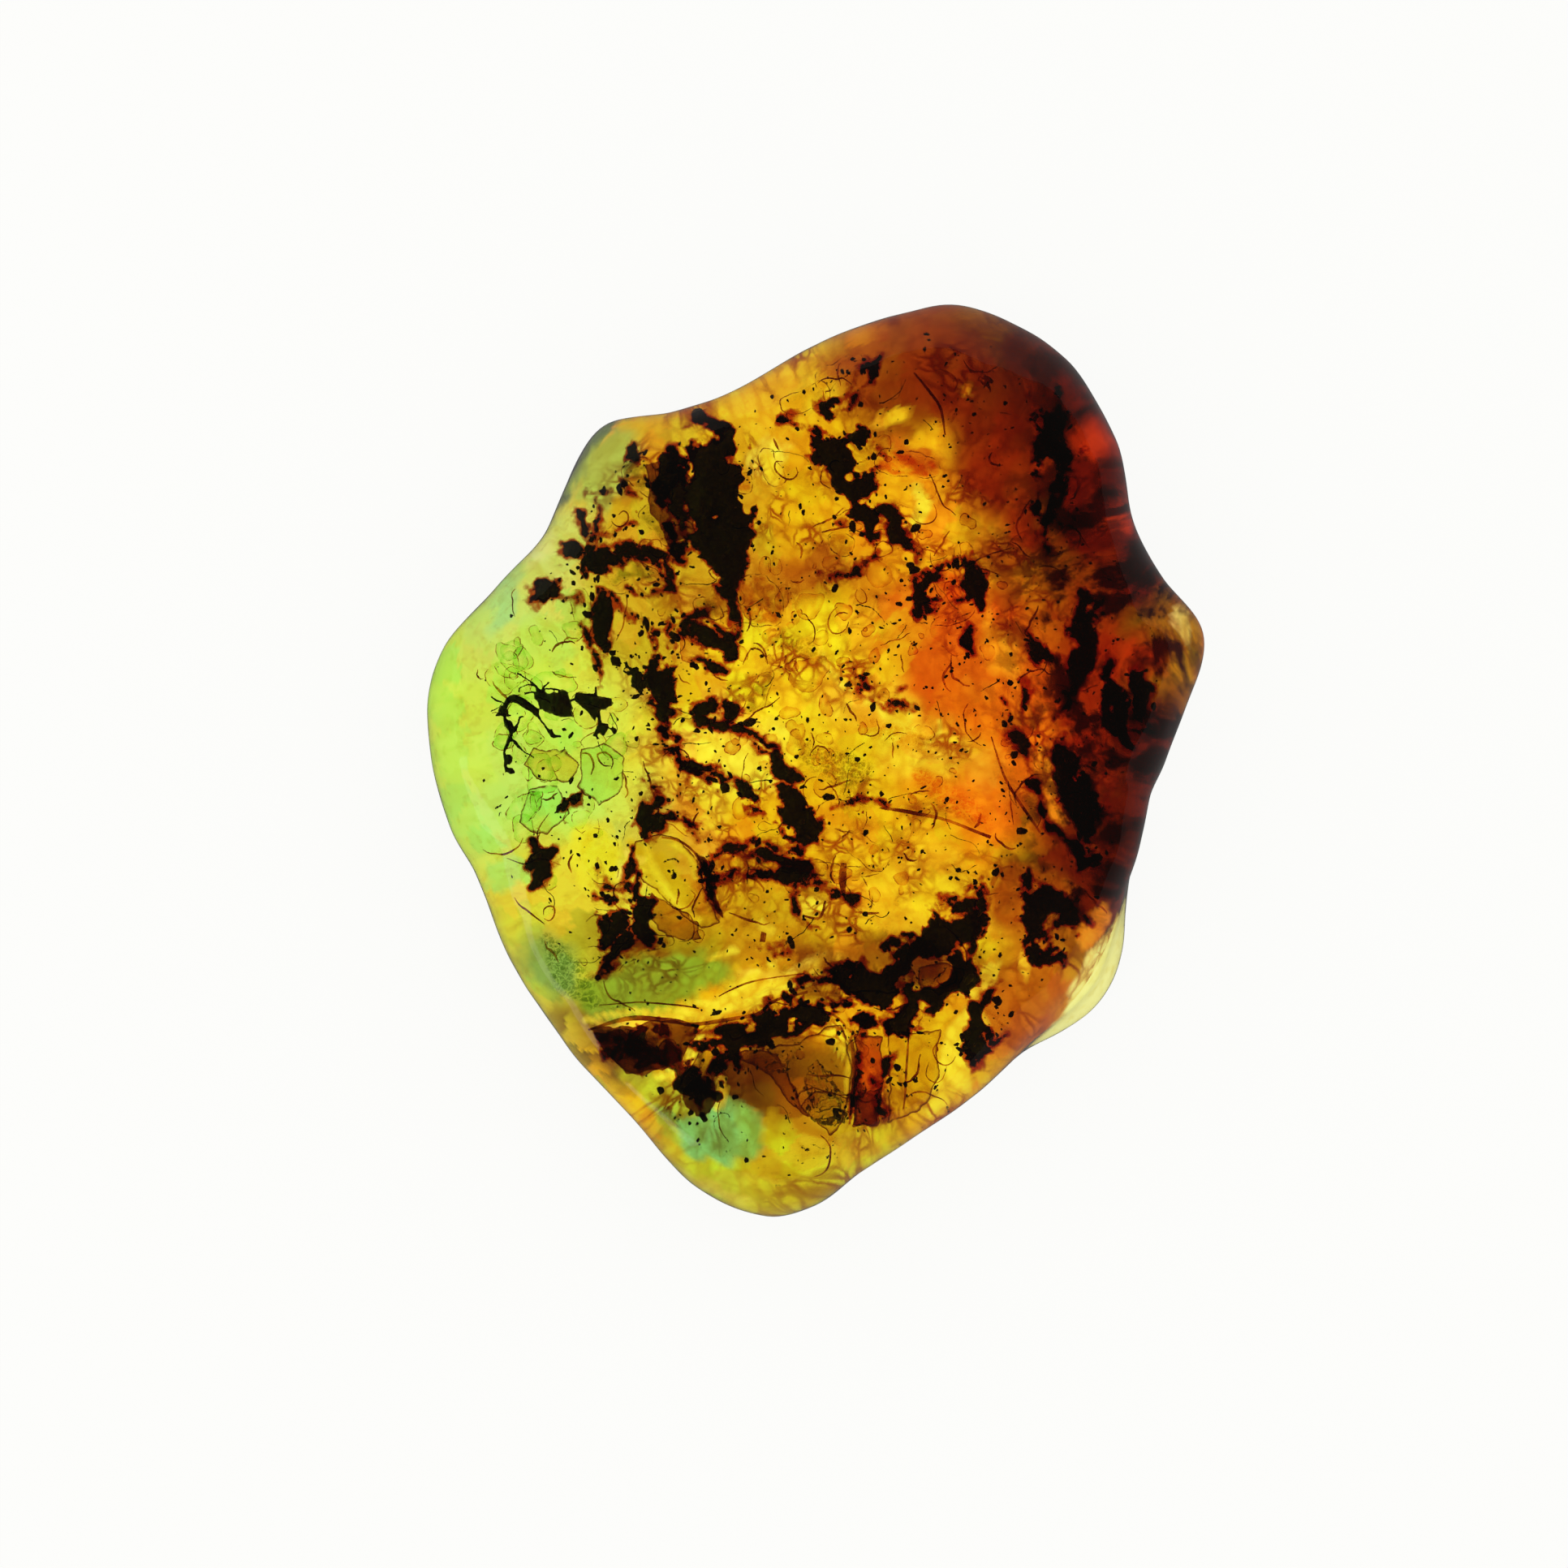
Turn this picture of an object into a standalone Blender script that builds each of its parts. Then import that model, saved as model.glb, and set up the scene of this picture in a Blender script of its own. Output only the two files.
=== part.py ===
"""An insect sealed in a polished nugget of amber, lying on the flat ground on its underside.

The clear nugget is parted in two solids at one level plane. The insect and the litter caught with it
lie in pockets that open onto that plane. Lengths in the tables are millimetres; the model is in metres.
"""

import math

import bmesh
import bpy
from mathutils import Vector, noise

MM = 0.001

# The rim seen from above, as (bearing in degrees, distance from the middle). Bearing 0 is +X, 90 is +Y.
RIM = [
    (0, 20.7), (8, 21.9), (18, 23.6), (28, 23.2), (38, 23.7), (48, 26.2), (58, 28.0), (72, 28.4),
    (80, 26.9), (90, 24.5), (102, 22.5), (112, 22.3), (122, 22.8), (132, 21.4), (140, 20.8),
    (152, 21.7), (163, 22.9), (178, 22.6), (190, 21.7), (198, 21.0), (212, 21.5), (228, 22.2),
    (242, 23.4), (254, 26.0), (264, 27.1), (270, 26.4), (277, 24.1), (290, 22.3), (304, 20.8),
    (320, 20.2), (332, 19.7), (344, 19.8), (354, 19.9),
]
PART_HEIGHT = 5.5       # the parting plane, at the widest level
CROWN_RISE = 8.5        # from the parting plane to the top
BELLY_DROP = 11.3       # from the parting plane to the belly, before the flat is ground on it
RIM_BLUNTNESS = 0.70    # below 1 the rim is fuller than an ellipse's
CROWN_FLATNESS = 0.82   # below 1 the crown is flatter than an ellipse's
GAP = 0.3               # between the halves, and round each sealed piece
NUGGET_SEGMENTS = 52
NUGGET_RINGS = 20

# Lobes that stand out of the rim: bearing, elevation, push, and how far they spread in degrees.
RIM_LOBES = {
    "bright lobe low on the right": (321, -18, 2.7, 12, 12),
    "grey lobe at the upper left": (126, -12, 1.3, 9, 13),
    "knuckle on the right rim": (18, 4, 0.5, 6, 12),
}
# Swells and hollows of the crown: x, y, height, spread.
CROWN_RELIEF = {
    "left shoulder": (-11.0, 6.0, 1.0, 6.5),
    "middle swell": (3.0, 4.0, 0.9, 6.0),
    "head swell": (9.0, 20.5, 1.6, 5.0),
    "neck hollow": (8.0, 12.5, -0.9, 3.8),
    "tongue hollow": (-1.0, -9.5, -0.9, 4.2),
    "tongue": (-8.4, -7.4, 0.7, 2.4),
    "ledge under the ribbon": (-7.0, -17.0, -0.9, 4.0),
    "toe swell": (-1.5, -20.5, 0.9, 4.0),
    "right hollow": (15.5, -7.0, -0.8, 3.8),
    "right swell": (16.0, 4.5, 0.6, 4.5),
}
WAVER = 0.35            # gentle unevenness of the polished skin
WAVER_SIZE = 7.0
NOISE_SEED = 7

# The sealed things are placed where they are seen from here, in the parting plane. The crown bends
# the view outward, so each of them lies further in than it is seen.
VIEWPOINT = Vector((-1.872, -1.272, 263.0))
REFRACTION = 1.54

# Litter sealed in the resin: height above the floor, thickness over width, and the strands it is fused from.
# A strand is a run of (x, y, half width) seen from above.
LITTER = {
    "bark_log": (7.0, 0.5, [[(-6.0, 18.4, 1.0), (-5.9, 16.2, 1.4), (-5.6, 12.5, 1.1), (-4.9, 8.4, 0.2)]]),
    "bark_shreds": (
        6.3,
        0.4,
        [[(-8.6, 18.2, 0.6), (-9.3, 16.6, 1.0), (-8.4, 14.1, 0.7), (-8.0, 12.0, 0.2)]],
    ),
    "root_star": (
        6.9,
        0.5,
        [
            [(-16.6, 9.5, 0.2), (-14.6, 10.4, 0.6), (-13.3, 11.6, 0.7), (-11.8, 11.8, 0.4)],
            [(-12.6, 11.7, 0.4), (-11.0, 12.2, 0.35), (-9.6, 12.3, 0.3), (-8.4, 10.9, 0.2)],
            [(-14.9, 12.6, 0.2), (-14.1, 11.2, 0.5), (-12.8, 9.3, 0.4), (-12.3, 6.7, 0.2)],
        ],
    ),
    "clump_by_insect": (6.5, 0.45, [[(-9.3, 7.8, 0.6), (-8.8, 5.5, 1.2), (-9.1, 3.0, 0.6)]]),
    "leaf_frond": (8.3, 0.2, [[(-11.4, 7.1, 0.2), (-10.6, 5.7, 0.7), (-10.3, 4.3, 0.2)]]),
    "bark_crumb_upper": (7.4, 0.5, [[(-7.8, 7.9, 0.3), (-6.4, 7.7, 0.6), (-4.9, 6.8, 0.3)]]),
    "bark_crumb_middle": (6.8, 0.5, [[(-6.6, 2.9, 0.3), (-5.6, 3.3, 0.7), (-4.7, 2.6, 0.3)]]),
    "fine_twig": (8.1, 0.7, [[(-6.4, 2.2, 0.2), (-4.3, 1.9, 0.25), (-2.2, 1.2, 0.15)]]),
    "slanting_twig": (
        7.7,
        0.5,
        [[(-7.7, -0.6, 0.2), (-5.3, -1.4, 0.5), (-2.6, -2.2, 1.1), (0.1, -3.8, 0.6)]],
    ),
    "arched_twig": (
        7.2,
        0.5,
        [[(-11.3, -5.4, 0.3), (-10.5, -3.8, 0.5), (-8.8, -3.1, 0.4), (-7.2, -3.5, 0.2)]],
    ),
    "bark_clump_left": (6.2, 0.45, [[(-12.1, -10.5, 0.4), (-11.0, -8.8, 1.2), (-10.2, -7.1, 0.5)]]),
    "upper_strip": (8.6, 0.5, [[(-6.6, -5.9, 0.2), (-3.6, -5.3, 0.3), (-0.2, -6.6, 0.2)]]),
    "lower_strip": (7.7, 0.5, [[(-6.0, -6.7, 0.15), (-2.2, -7.0, 0.3), (2.5, -8.3, 0.25)]]),
    "bark_slab": (
        6.3,
        0.35,
        [
            [(8.8, -8.1, 0.4), (7.1, -10.7, 1.2), (4.5, -12.6, 1.2), (1.6, -13.7, 0.5)],
            [(9.2, -9.6, 0.4), (8.3, -12.7, 1.2), (5.5, -15.0, 0.6)],
        ],
    ),
    "upright_splinter": (8.7, 0.7, [[(9.9, -6.9, 0.2), (9.8, -9.1, 0.35), (9.6, -12.0, 0.2)]]),
    "level_bark_band": (
        6.5,
        0.35,
        [[(-6.9, -16.4, 0.6), (-3.8, -16.1, 1.2), (-1.0, -15.5, 1.1), (1.7, -14.4, 0.5)]],
    ),
    "brown_flake": (5.3, 0.25, [[(-12.2, -16.0, 0.5), (-10.3, -16.9, 1.2), (-7.8, -17.6, 0.6)]]),
    "round_knot": (5.4, 0.6, [[(-7.6, -19.7, 0.7), (-6.7, -19.8, 1.0), (-5.7, -19.6, 0.7)]]),
    "wedge_chip": (7.4, 0.3, [[(-1.9, -17.8, 0.3), (0.2, -18.2, 1.3), (1.4, -21.2, 0.3)]]),
    "left_sliver": (7.8, 0.6, [[(2.6, -16.0, 0.15), (2.7, -18.3, 0.25), (2.6, -20.6, 0.15)]]),
    "right_sliver": (7.4, 0.6, [[(4.3, -17.4, 0.15), (4.2, -19.0, 0.25), (4.0, -20.6, 0.15)]]),
    "upright_slab": (6.5, 0.4, [[(10.5, -13.4, 0.3), (9.7, -15.4, 0.7), (9.1, -17.4, 0.3)]]),
    "upper_clump": (7.4, 0.4, [[(-1.0, 20.0, 0.4), (1.3, 18.4, 1.1), (2.7, 16.3, 1.1), (3.4, 13.4, 0.4)]]),
    "clump_tail": (8.3, 0.5, [[(4.6, 14.8, 0.25), (5.0, 13.4, 0.4), (5.9, 12.1, 0.2)]]),
    "hooked_crumb_left": (7.8, 0.5, [[(5.9, 9.2, 0.3), (6.4, 10.6, 0.55), (7.5, 11.2, 0.25)]]),
    "hooked_crumb_right": (7.4, 0.5, [[(8.7, 11.8, 0.3), (9.5, 10.4, 0.6), (9.7, 8.6, 0.25)]]),
    "fine_streak": (8.9, 0.6, [[(1.8, 5.3, 0.15), (3.1, 4.2, 0.35), (4.9, 3.6, 0.2)]]),
    "leaning_splinter": (8.6, 0.5, [[(11.2, 3.2, 0.15), (12.0, 0.2, 0.4), (13.1, -3.2, 0.15)]]),
    "right_clump_middle": (6.9, 0.45, [[(14.7, 0.7, 0.4), (15.5, -2.2, 1.0), (16.2, -5.1, 0.4)]]),
    "right_clump_low": (5.7, 0.4, [[(12.8, -8.3, 0.5), (14.2, -9.7, 1.3), (15.2, -10.2, 0.5)]]),
    "right_streak": (6.2, 0.5, [[(16.4, 5.4, 0.3), (18.2, 3.4, 0.5), (19.0, 1.1, 0.2)]]),
    "right_clump_upper": (6.8, 0.45, [[(15.6, 9.8, 0.4), (16.0, 7.4, 0.85), (14.8, 4.5, 0.35)]]),
    "crown_streak": (7.2, 0.6, [[(3.5, 24.0, 0.15), (2.4, 22.6, 0.3), (1.0, 21.3, 0.15)]]),
    "head_clump": (6.8, 0.45, [[(13.2, 21.5, 0.6), (14.2, 18.2, 1.15), (13.7, 13.9, 0.6)]]),
    "small_star": (
        6.6,
        0.5,
        [
            [(-17.0, -4.6, 0.15), (-16.5, -5.9, 0.4), (-16.6, -7.2, 0.15)],
            [(-17.3, -6.3, 0.15), (-16.5, -5.9, 0.3), (-15.4, -5.3, 0.15)],
        ],
    ),
    "red_flake": (7.2, 0.35, [[(-14.9, -2.8, 0.15), (-14.4, -2.2, 0.4), (-13.9, -1.8, 0.15)]]),
    "pin_piece": (8.4, 0.7, [[(-3.4, -10.4, 0.2), (-2.4, -10.6, 0.25), (-1.4, -10.9, 0.15)]]),
}
STRAND_STATIONS = 7
STRAND_SIDES = 6
STRAND_TILT = 0.06      # how far a strand's far end leans up or down, over its length
RAGGEDNESS = 0.45       # sideways tear of a strand's edge, over its half width

# The insect, straddling the parting plane. Rounded parts: middle, half lengths, turn about Z in degrees.
INSECT_LEVEL = PART_HEIGHT
INSECT_BODY = {
    "head": ((-16.62, 4.15, 0.05), (0.46, 0.38, 0.34), 25),
    "thorax": ((-15.45, 3.60, 0.10), (0.98, 0.82, 0.62), -12),
    "abdomen": ((-13.15, 3.50, 0.05), (1.30, 0.72, 0.60), -8),
}
# Limbs: runs of (x, y, z, half width), z from the insect's level.
INSECT_LIMBS = {
    "waist": [(-14.8, 3.6, 0.1, 0.30), (-14.2, 3.55, 0.1, 0.26), (-13.7, 3.5, 0.1, 0.34)],
    "left_antenna": [(-16.7, 4.4, 0.2, 0.09), (-17.0, 4.75, 0.35, 0.06), (-17.66, 5.35, 0.3, 0.09)],
    "right_antenna": [(-16.5, 4.4, 0.2, 0.09), (-16.3, 4.7, 0.4, 0.06), (-15.9, 5.1, 0.45, 0.06)],
    "palp": [(-16.9, 4.1, 0.1, 0.08), (-17.3, 4.1, 0.05, 0.06), (-17.55, 3.9, 0.0, 0.07)],
    "front_leg": [
        (-16.0, 3.1, 0.0, 0.20), (-16.7, 3.15, 0.1, 0.27), (-17.3, 3.55, 0.2, 0.29),
        (-17.95, 3.75, 0.15, 0.26), (-18.5, 3.3, 0.0, 0.20), (-18.75, 2.7, -0.2, 0.20),
        (-19.05, 2.4, -0.3, 0.08),
    ],
    "front_foot": [
        (-18.55, 2.75, -0.15, 0.14), (-18.4, 2.1, -0.3, 0.22), (-18.3, 1.6, -0.35, 0.15),
        (-18.5, 0.7, -0.4, 0.12), (-18.35, 0.0, -0.45, 0.20), (-18.15, -0.6, -0.5, 0.16),
    ],
    "middle_leg": [
        (-16.1, 3.0, -0.1, 0.14), (-16.3, 2.7, 0.0, 0.10), (-15.85, 1.9, 0.25, 0.09),
        (-15.7, 1.5, 0.2, 0.14), (-15.25, 1.45, 0.15, 0.12),
    ],
    "hind_leg": [
        (-15.0, 3.0, -0.1, 0.13), (-14.6, 2.6, 0.1, 0.10), (-14.5, 1.9, 0.2, 0.08), (-14.2, 1.5, 0.1, 0.08),
    ],
    "far_front_leg": [(-15.2, 4.2, -0.1, 0.12), (-14.9, 4.7, 0.1, 0.08), (-14.4, 5.2, 0.0, 0.08)],
    "far_middle_leg": [
        (-12.9, 4.0, 0.0, 0.14), (-13.0, 4.5, 0.15, 0.12), (-12.9, 4.95, 0.1, 0.10),
    ],
    "far_hind_leg": [
        (-12.9, 3.0, 0.0, 0.24), (-12.85, 2.3, 0.1, 0.15), (-13.05, 1.6, 0.1, 0.17), (-12.9, 1.25, 0.1, 0.20),
    ],
    "tail": [(-12.4, 3.4, 0.0, 0.40), (-11.9, 3.45, 0.0, 0.26), (-11.6, 3.3, 0.0, 0.15)],
}
LIMB_SIDES = 6
BODY_SUBDIVISIONS = 2
POCKET_MARGIN = 0.45    # insect pocket, round its limbs
POCKET_CORNERS = 8     # corners on the circle that each strand station gives its pocket

AMBER = ((0.85, 0.42, 0.04), 0.06, 1.0)
CHITIN = ((0.030, 0.012, 0.006), 0.35, 0.0)
BARK = ((0.045, 0.018, 0.008), 0.70, 0.0)
LEAF = ((0.110, 0.120, 0.030), 0.60, 0.0)
RESIN_CHIP = ((0.260, 0.190, 0.040), 0.30, 0.0)
LITTER_COLOURS = {"leaf_frond": LEAF, "wedge_chip": RESIN_CHIP}


def clear_scene():
    for item in list(bpy.data.objects):
        bpy.data.objects.remove(item, do_unlink=True)


def new_collection(name, hidden=False):
    made = bpy.data.collections.new(name)
    bpy.context.scene.collection.children.link(made)
    made.hide_render = hidden
    return made


def material(name, finish):
    colour, roughness, transmission = finish
    made = bpy.data.materials.new(name)
    made.use_nodes = True
    shader = made.node_tree.nodes["Principled BSDF"]
    shader.inputs["Base Color"].default_value = (*colour, 1.0)
    shader.inputs["Roughness"].default_value = roughness
    shader.inputs["Metallic"].default_value = 0.0
    shader.inputs["Transmission Weight"].default_value = transmission
    return made


def object_from(name, shape, home, finish=None):
    mesh = bpy.data.meshes.new(name)
    shape.to_mesh(mesh)
    shape.free()
    made = bpy.data.objects.new(name, mesh)
    home.objects.link(made)
    if finish:
        mesh.materials.append(material(name, finish))
        mesh.shade_smooth()
    else:
        made.hide_render = True
        made.display_type = "WIRE"
    return made


def add_boolean(target, operation, tool):
    cut = target.modifiers.new(operation.title(), "BOOLEAN")
    cut.operation = operation
    cut.solver = "EXACT"
    if isinstance(tool, bpy.types.Collection):
        cut.operand_type = "COLLECTION"
        cut.collection = tool
    else:
        cut.object = tool


def hermite(before, start, end, after, gaps, share):
    """A smooth value between start and end, from their neighbours and the three gaps between the four."""
    first, middle, last = gaps
    slope_in = (end - before) / (first + middle) * middle
    slope_out = (after - start) / (middle + last) * middle
    s2 = share * share
    s3 = s2 * share
    return (
        (2 * s3 - 3 * s2 + 1) * start
        + (s3 - 2 * s2 + share) * slope_in
        + (3 * s2 - 2 * s3) * end
        + (s3 - s2) * slope_out
    )


def rim_distance(bearing):
    """Distance from the middle to the rim, along a smooth closed curve through RIM."""
    bearing %= 360
    count = len(RIM)
    for i in range(count):
        run = [RIM[(i + step) % count] for step in (-1, 0, 1, 2)]
        gaps = [(run[k + 1][0] - run[k][0]) % 360 for k in range(3)]
        beyond = (bearing - run[1][0]) % 360
        if beyond < gaps[1]:
            return hermite(*(distance for _, distance in run), gaps, beyond / gaps[1])
    return RIM[0][1]


def bell(distance, spread):
    return math.exp(-0.5 * (distance / spread) ** 2)


def turn_between(a, b):
    return (a - b + 180) % 360 - 180


def nugget_point(direction):
    """Where the skin of the nugget lies for a direction on the unit sphere."""
    bearing = math.degrees(math.atan2(direction.y, direction.x))
    elevation = math.degrees(math.asin(max(-1.0, min(1.0, direction.z))))
    level = math.cos(math.radians(elevation))
    rise = abs(math.sin(math.radians(elevation)))
    reach = rim_distance(bearing)
    for lobe_bearing, lobe_elevation, push, across, upright in RIM_LOBES.values():
        near = bell(turn_between(bearing, lobe_bearing), across) * bell(elevation - lobe_elevation, upright)
        reach += push * near
    reach *= level ** RIM_BLUNTNESS
    x = reach * math.cos(math.radians(bearing))
    y = reach * math.sin(math.radians(bearing))
    above = direction.z > 0
    height = rise ** CROWN_FLATNESS * (CROWN_RISE if above else -BELLY_DROP)
    for spot_x, spot_y, swell, spread in CROWN_RELIEF.values():
        if above:
            height += swell * bell(math.hypot(x - spot_x, y - spot_y), spread) * min(1.0, 1.6 * rise)
    waver = noise.noise_vector(Vector((x, y, height)) / WAVER_SIZE) * WAVER
    return Vector((x + waver.x, y + waver.y, PART_HEIGHT + height + waver.z)) * MM


def crown_height(x, y):
    """The height of the crown over a place, without its waver."""
    rim = rim_distance(math.degrees(math.atan2(y, x)))
    level = min(1.0, math.hypot(x, y) / rim) ** (1 / RIM_BLUNTNESS)
    rise = math.sqrt(1 - level * level)
    height = PART_HEIGHT + rise ** CROWN_FLATNESS * CROWN_RISE
    for spot_x, spot_y, swell, spread in CROWN_RELIEF.values():
        height += swell * bell(math.hypot(x - spot_x, y - spot_y), spread) * min(1.0, 1.6 * rise)
    return height


def true_place(x, y, height):
    """Where a thing lies, at a height, that is seen at (x, y) in the parting plane."""
    seen = Vector((x, y, PART_HEIGHT))
    sight = (seen - VIEWPOINT).normalized()
    entry = seen
    for _ in range(5):
        entry = seen + sight * ((crown_height(entry.x, entry.y) - PART_HEIGHT) / sight.z)
    step = 0.2
    rise_x = crown_height(entry.x + step, entry.y) - crown_height(entry.x - step, entry.y)
    rise_y = crown_height(entry.x, entry.y + step) - crown_height(entry.x, entry.y - step)
    normal = Vector((-rise_x, -rise_y, 2 * step)).normalized()
    facing = -sight.dot(normal)
    inside = math.sqrt(1 - (1 - facing * facing) / REFRACTION**2)
    bent = sight / REFRACTION + normal * (facing / REFRACTION - inside)
    place = entry + bent * ((height - entry.z) / bent.z)
    return place.x, place.y


def true_run(run, height):
    """A strand's (x, y, half width) points moved to where they lie."""
    return [(*true_place(x, y, height), half_width) for x, y, half_width in run]


def keep_side(shape, height, keep_above):
    """Cuts the closed shape at a level plane and closes the cut with one flat face."""
    bmesh.ops.bisect_plane(
        shape,
        geom=shape.verts[:] + shape.edges[:] + shape.faces[:],
        dist=1e-7,
        plane_co=(0, 0, height * MM),
        plane_no=(0, 0, 1),
        clear_inner=keep_above,
        clear_outer=not keep_above,
    )
    open_edges = [edge for edge in shape.edges if edge.is_boundary]
    bmesh.ops.holes_fill(shape, edges=open_edges, sides=0)
    bmesh.ops.recalc_face_normals(shape, faces=shape.faces[:])


def nugget_half(name, keep_above, home):
    shape = bmesh.new()
    bmesh.ops.create_uvsphere(shape, u_segments=NUGGET_SEGMENTS, v_segments=NUGGET_RINGS, radius=1.0)
    for vertex in shape.verts:
        vertex.co = nugget_point(vertex.co.normalized())
    keep_side(shape, 0.0, True)
    side = 1 if keep_above else -1
    keep_side(shape, PART_HEIGHT + side * GAP / 2, keep_above)
    return object_from(name, shape, home, AMBER)


def smooth_run(points, count):
    """Even samples of a smooth curve through the points, each a tuple of any length."""
    padded = [points[0], *points, points[-1]]
    samples = []
    for k in range(count):
        place = k / (count - 1) * (len(points) - 1)
        i = min(int(place), len(points) - 2)
        columns = zip(*padded[i : i + 4])
        samples.append([hermite(*column, (1, 1, 1), place - i) for column in columns])
    return samples


def tube(name, run, sides):
    """A closed tube along (x, y, z, half width) samples, as a shape with its caps welded on."""
    line = bpy.data.curves.new(name, "CURVE")
    line.dimensions = "3D"
    line.bevel_depth = MM
    line.bevel_resolution = sides // 2 - 2
    line.use_fill_caps = True
    spline = line.splines.new("POLY")
    spline.points.add(len(run) - 1)
    for point, (x, y, z, half_width) in zip(spline.points, run):
        point.co = (x * MM, y * MM, z * MM, 1.0)
        point.radius = half_width
    holder = bpy.data.objects.new(name, line)
    bpy.context.scene.collection.objects.link(holder)
    bpy.context.view_layer.update()
    mesh = bpy.data.meshes.new_from_object(holder.evaluated_get(bpy.context.evaluated_depsgraph_get()))
    shape = bmesh.new()
    shape.from_mesh(mesh)
    bmesh.ops.remove_doubles(shape, verts=shape.verts[:], dist=1e-7)
    bmesh.ops.recalc_face_normals(shape, faces=shape.faces[:])
    bpy.data.objects.remove(holder, do_unlink=True)
    bpy.data.curves.remove(line)
    bpy.data.meshes.remove(mesh)
    return shape


def strand(name, run, height, flatness, seed):
    """One flattened strand of litter with torn edges, tilted a little along its length."""
    samples = [(x, y, 0.0, half_width) for x, y, half_width in smooth_run(run, STRAND_STATIONS)]
    shape = tube(name, samples, STRAND_SIDES)
    start = Vector(run[0][:2])
    along = Vector(run[-1][:2]) - start
    widest = max(half_width for _, _, half_width in run)
    lean = STRAND_TILT * (1 if seed % 2 else -1)
    for vertex in shape.verts:
        x, y, z = vertex.co / MM
        tear = noise.noise_vector(Vector((x, y, seed * 3.7)) * 1.7) * RAGGEDNESS * widest
        share = (Vector((x, y)) - start).dot(along) / along.length_squared
        level = height + (share - 0.5) * along.length * lean
        vertex.co = Vector((x + tear.x, y + tear.y, level + z * flatness)) * MM
    return shape


def fuse(name, shapes, home, tools, finish):
    """The shapes as one object, the later ones joined to the first."""
    whole = object_from(name, shapes[0], home, finish)
    for k, shape in enumerate(shapes[1:]):
        add_boolean(whole, "UNION", object_from(f"{name}_join_{k}", shape, tools))
    return whole


def circle_points(x, y, radius, low, high):
    turns = [2 * math.pi * k / POCKET_CORNERS for k in range(POCKET_CORNERS)]
    return [
        Vector((x + radius * math.cos(turn), y + radius * math.sin(turn), level)) * MM
        for turn in turns
        for level in (low, high)
    ]


def hull_pocket(name, points, pockets):
    shape = bmesh.new()
    for point in points:
        shape.verts.new(point)
    result = bmesh.ops.convex_hull(shape, input=shape.verts[:])
    bmesh.ops.delete(shape, geom=result["geom_interior"], context="VERTS")
    bmesh.ops.dissolve_limit(shape, angle_limit=0.001, verts=shape.verts[:], edges=shape.edges[:])
    bmesh.ops.recalc_face_normals(shape, faces=shape.faces[:])
    object_from(name, shape, pockets)


def open_to_parting(low, high):
    """Stretches a pocket's span so that it opens onto the parting plane."""
    return min(low, PART_HEIGHT), max(high, PART_HEIGHT)


def litter_pocket(name, run, height, flatness, pockets):
    widest = max(half_width for _, _, half_width in run)
    length = math.dist(run[0][:2], run[-1][:2])
    tear = RAGGEDNESS * widest * 0.75
    deep = widest * flatness + STRAND_TILT * length / 2 + GAP
    low, high = open_to_parting(height - deep, height + deep)
    points = []
    for x, y, half_width in run:
        points += circle_points(x, y, half_width + tear + GAP, low, high)
    hull_pocket(name, points, pockets)


def build_litter(home, tools, pockets):
    for seed, (name, (height, flatness, seen_runs)) in enumerate(LITTER.items()):
        runs = [true_run(run, height) for run in seen_runs]
        shapes = [strand(name, run, height, flatness, seed + 40 * k) for k, run in enumerate(runs)]
        fuse(name, shapes, home, tools, LITTER_COLOURS.get(name, BARK))
        for k, run in enumerate(runs):
            litter_pocket(f"{name}_pocket_{k}", run, height, flatness, pockets)


def limb_places(run):
    """A limb's points moved to where they lie, with their heights above the floor."""
    places = []
    for x, y, z, half_width in run:
        height = INSECT_LEVEL + z
        places.append((*true_place(x, y, height), height, half_width))
    return places


def rounded(middle, half_lengths, turn):
    shape = bmesh.new()
    bmesh.ops.create_icosphere(shape, subdivisions=BODY_SUBDIVISIONS, radius=1.0)
    turned = math.radians(turn)
    for vertex in shape.verts:
        x = vertex.co.x * half_lengths[0]
        y = vertex.co.y * half_lengths[1]
        seen_x = middle[0] + x * math.cos(turned) - y * math.sin(turned)
        seen_y = middle[1] + x * math.sin(turned) + y * math.cos(turned)
        height = INSECT_LEVEL + middle[2] + vertex.co.z * half_lengths[2]
        vertex.co = Vector((*true_place(seen_x, seen_y, height), height)) * MM
    return shape


def build_insect(home, tools, pockets):
    shapes = [rounded(*part) for part in INSECT_BODY.values()]
    for name, run in INSECT_LIMBS.items():
        places = limb_places(run)
        shapes.append(tube(name, smooth_run(places, len(places) + 2), LIMB_SIDES))
        points = []
        for x, y, height, half_width in places:
            reach = half_width + POCKET_MARGIN
            points += circle_points(x, y, reach, height - reach, height + reach)
        hull_pocket(f"{name}_pocket", points, pockets)
    for name, (middle, half_lengths, _) in INSECT_BODY.items():
        reach = max(half_lengths[:2]) + GAP
        low = INSECT_LEVEL + middle[2] - half_lengths[2] - GAP
        high = INSECT_LEVEL + middle[2] + half_lengths[2] + GAP
        x, y = true_place(*middle[:2], INSECT_LEVEL)
        hull_pocket(f"{name}_pocket", circle_points(x, y, reach, low, high), pockets)
    fuse("insect", shapes, home, tools, CHITIN)


def main():
    clear_scene()
    noise.seed_set(NOISE_SEED)
    home = new_collection("insect_in_amber")
    tools = new_collection("joining_shapes", hidden=True)
    pockets = new_collection("pockets", hidden=True)
    build_litter(home, tools, pockets)
    build_insect(home, tools, pockets)
    for name, keep_above in (("amber_upper", True), ("amber_lower", False)):
        add_boolean(nugget_half(name, keep_above, home), "DIFFERENCE", pockets)


main()
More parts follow.
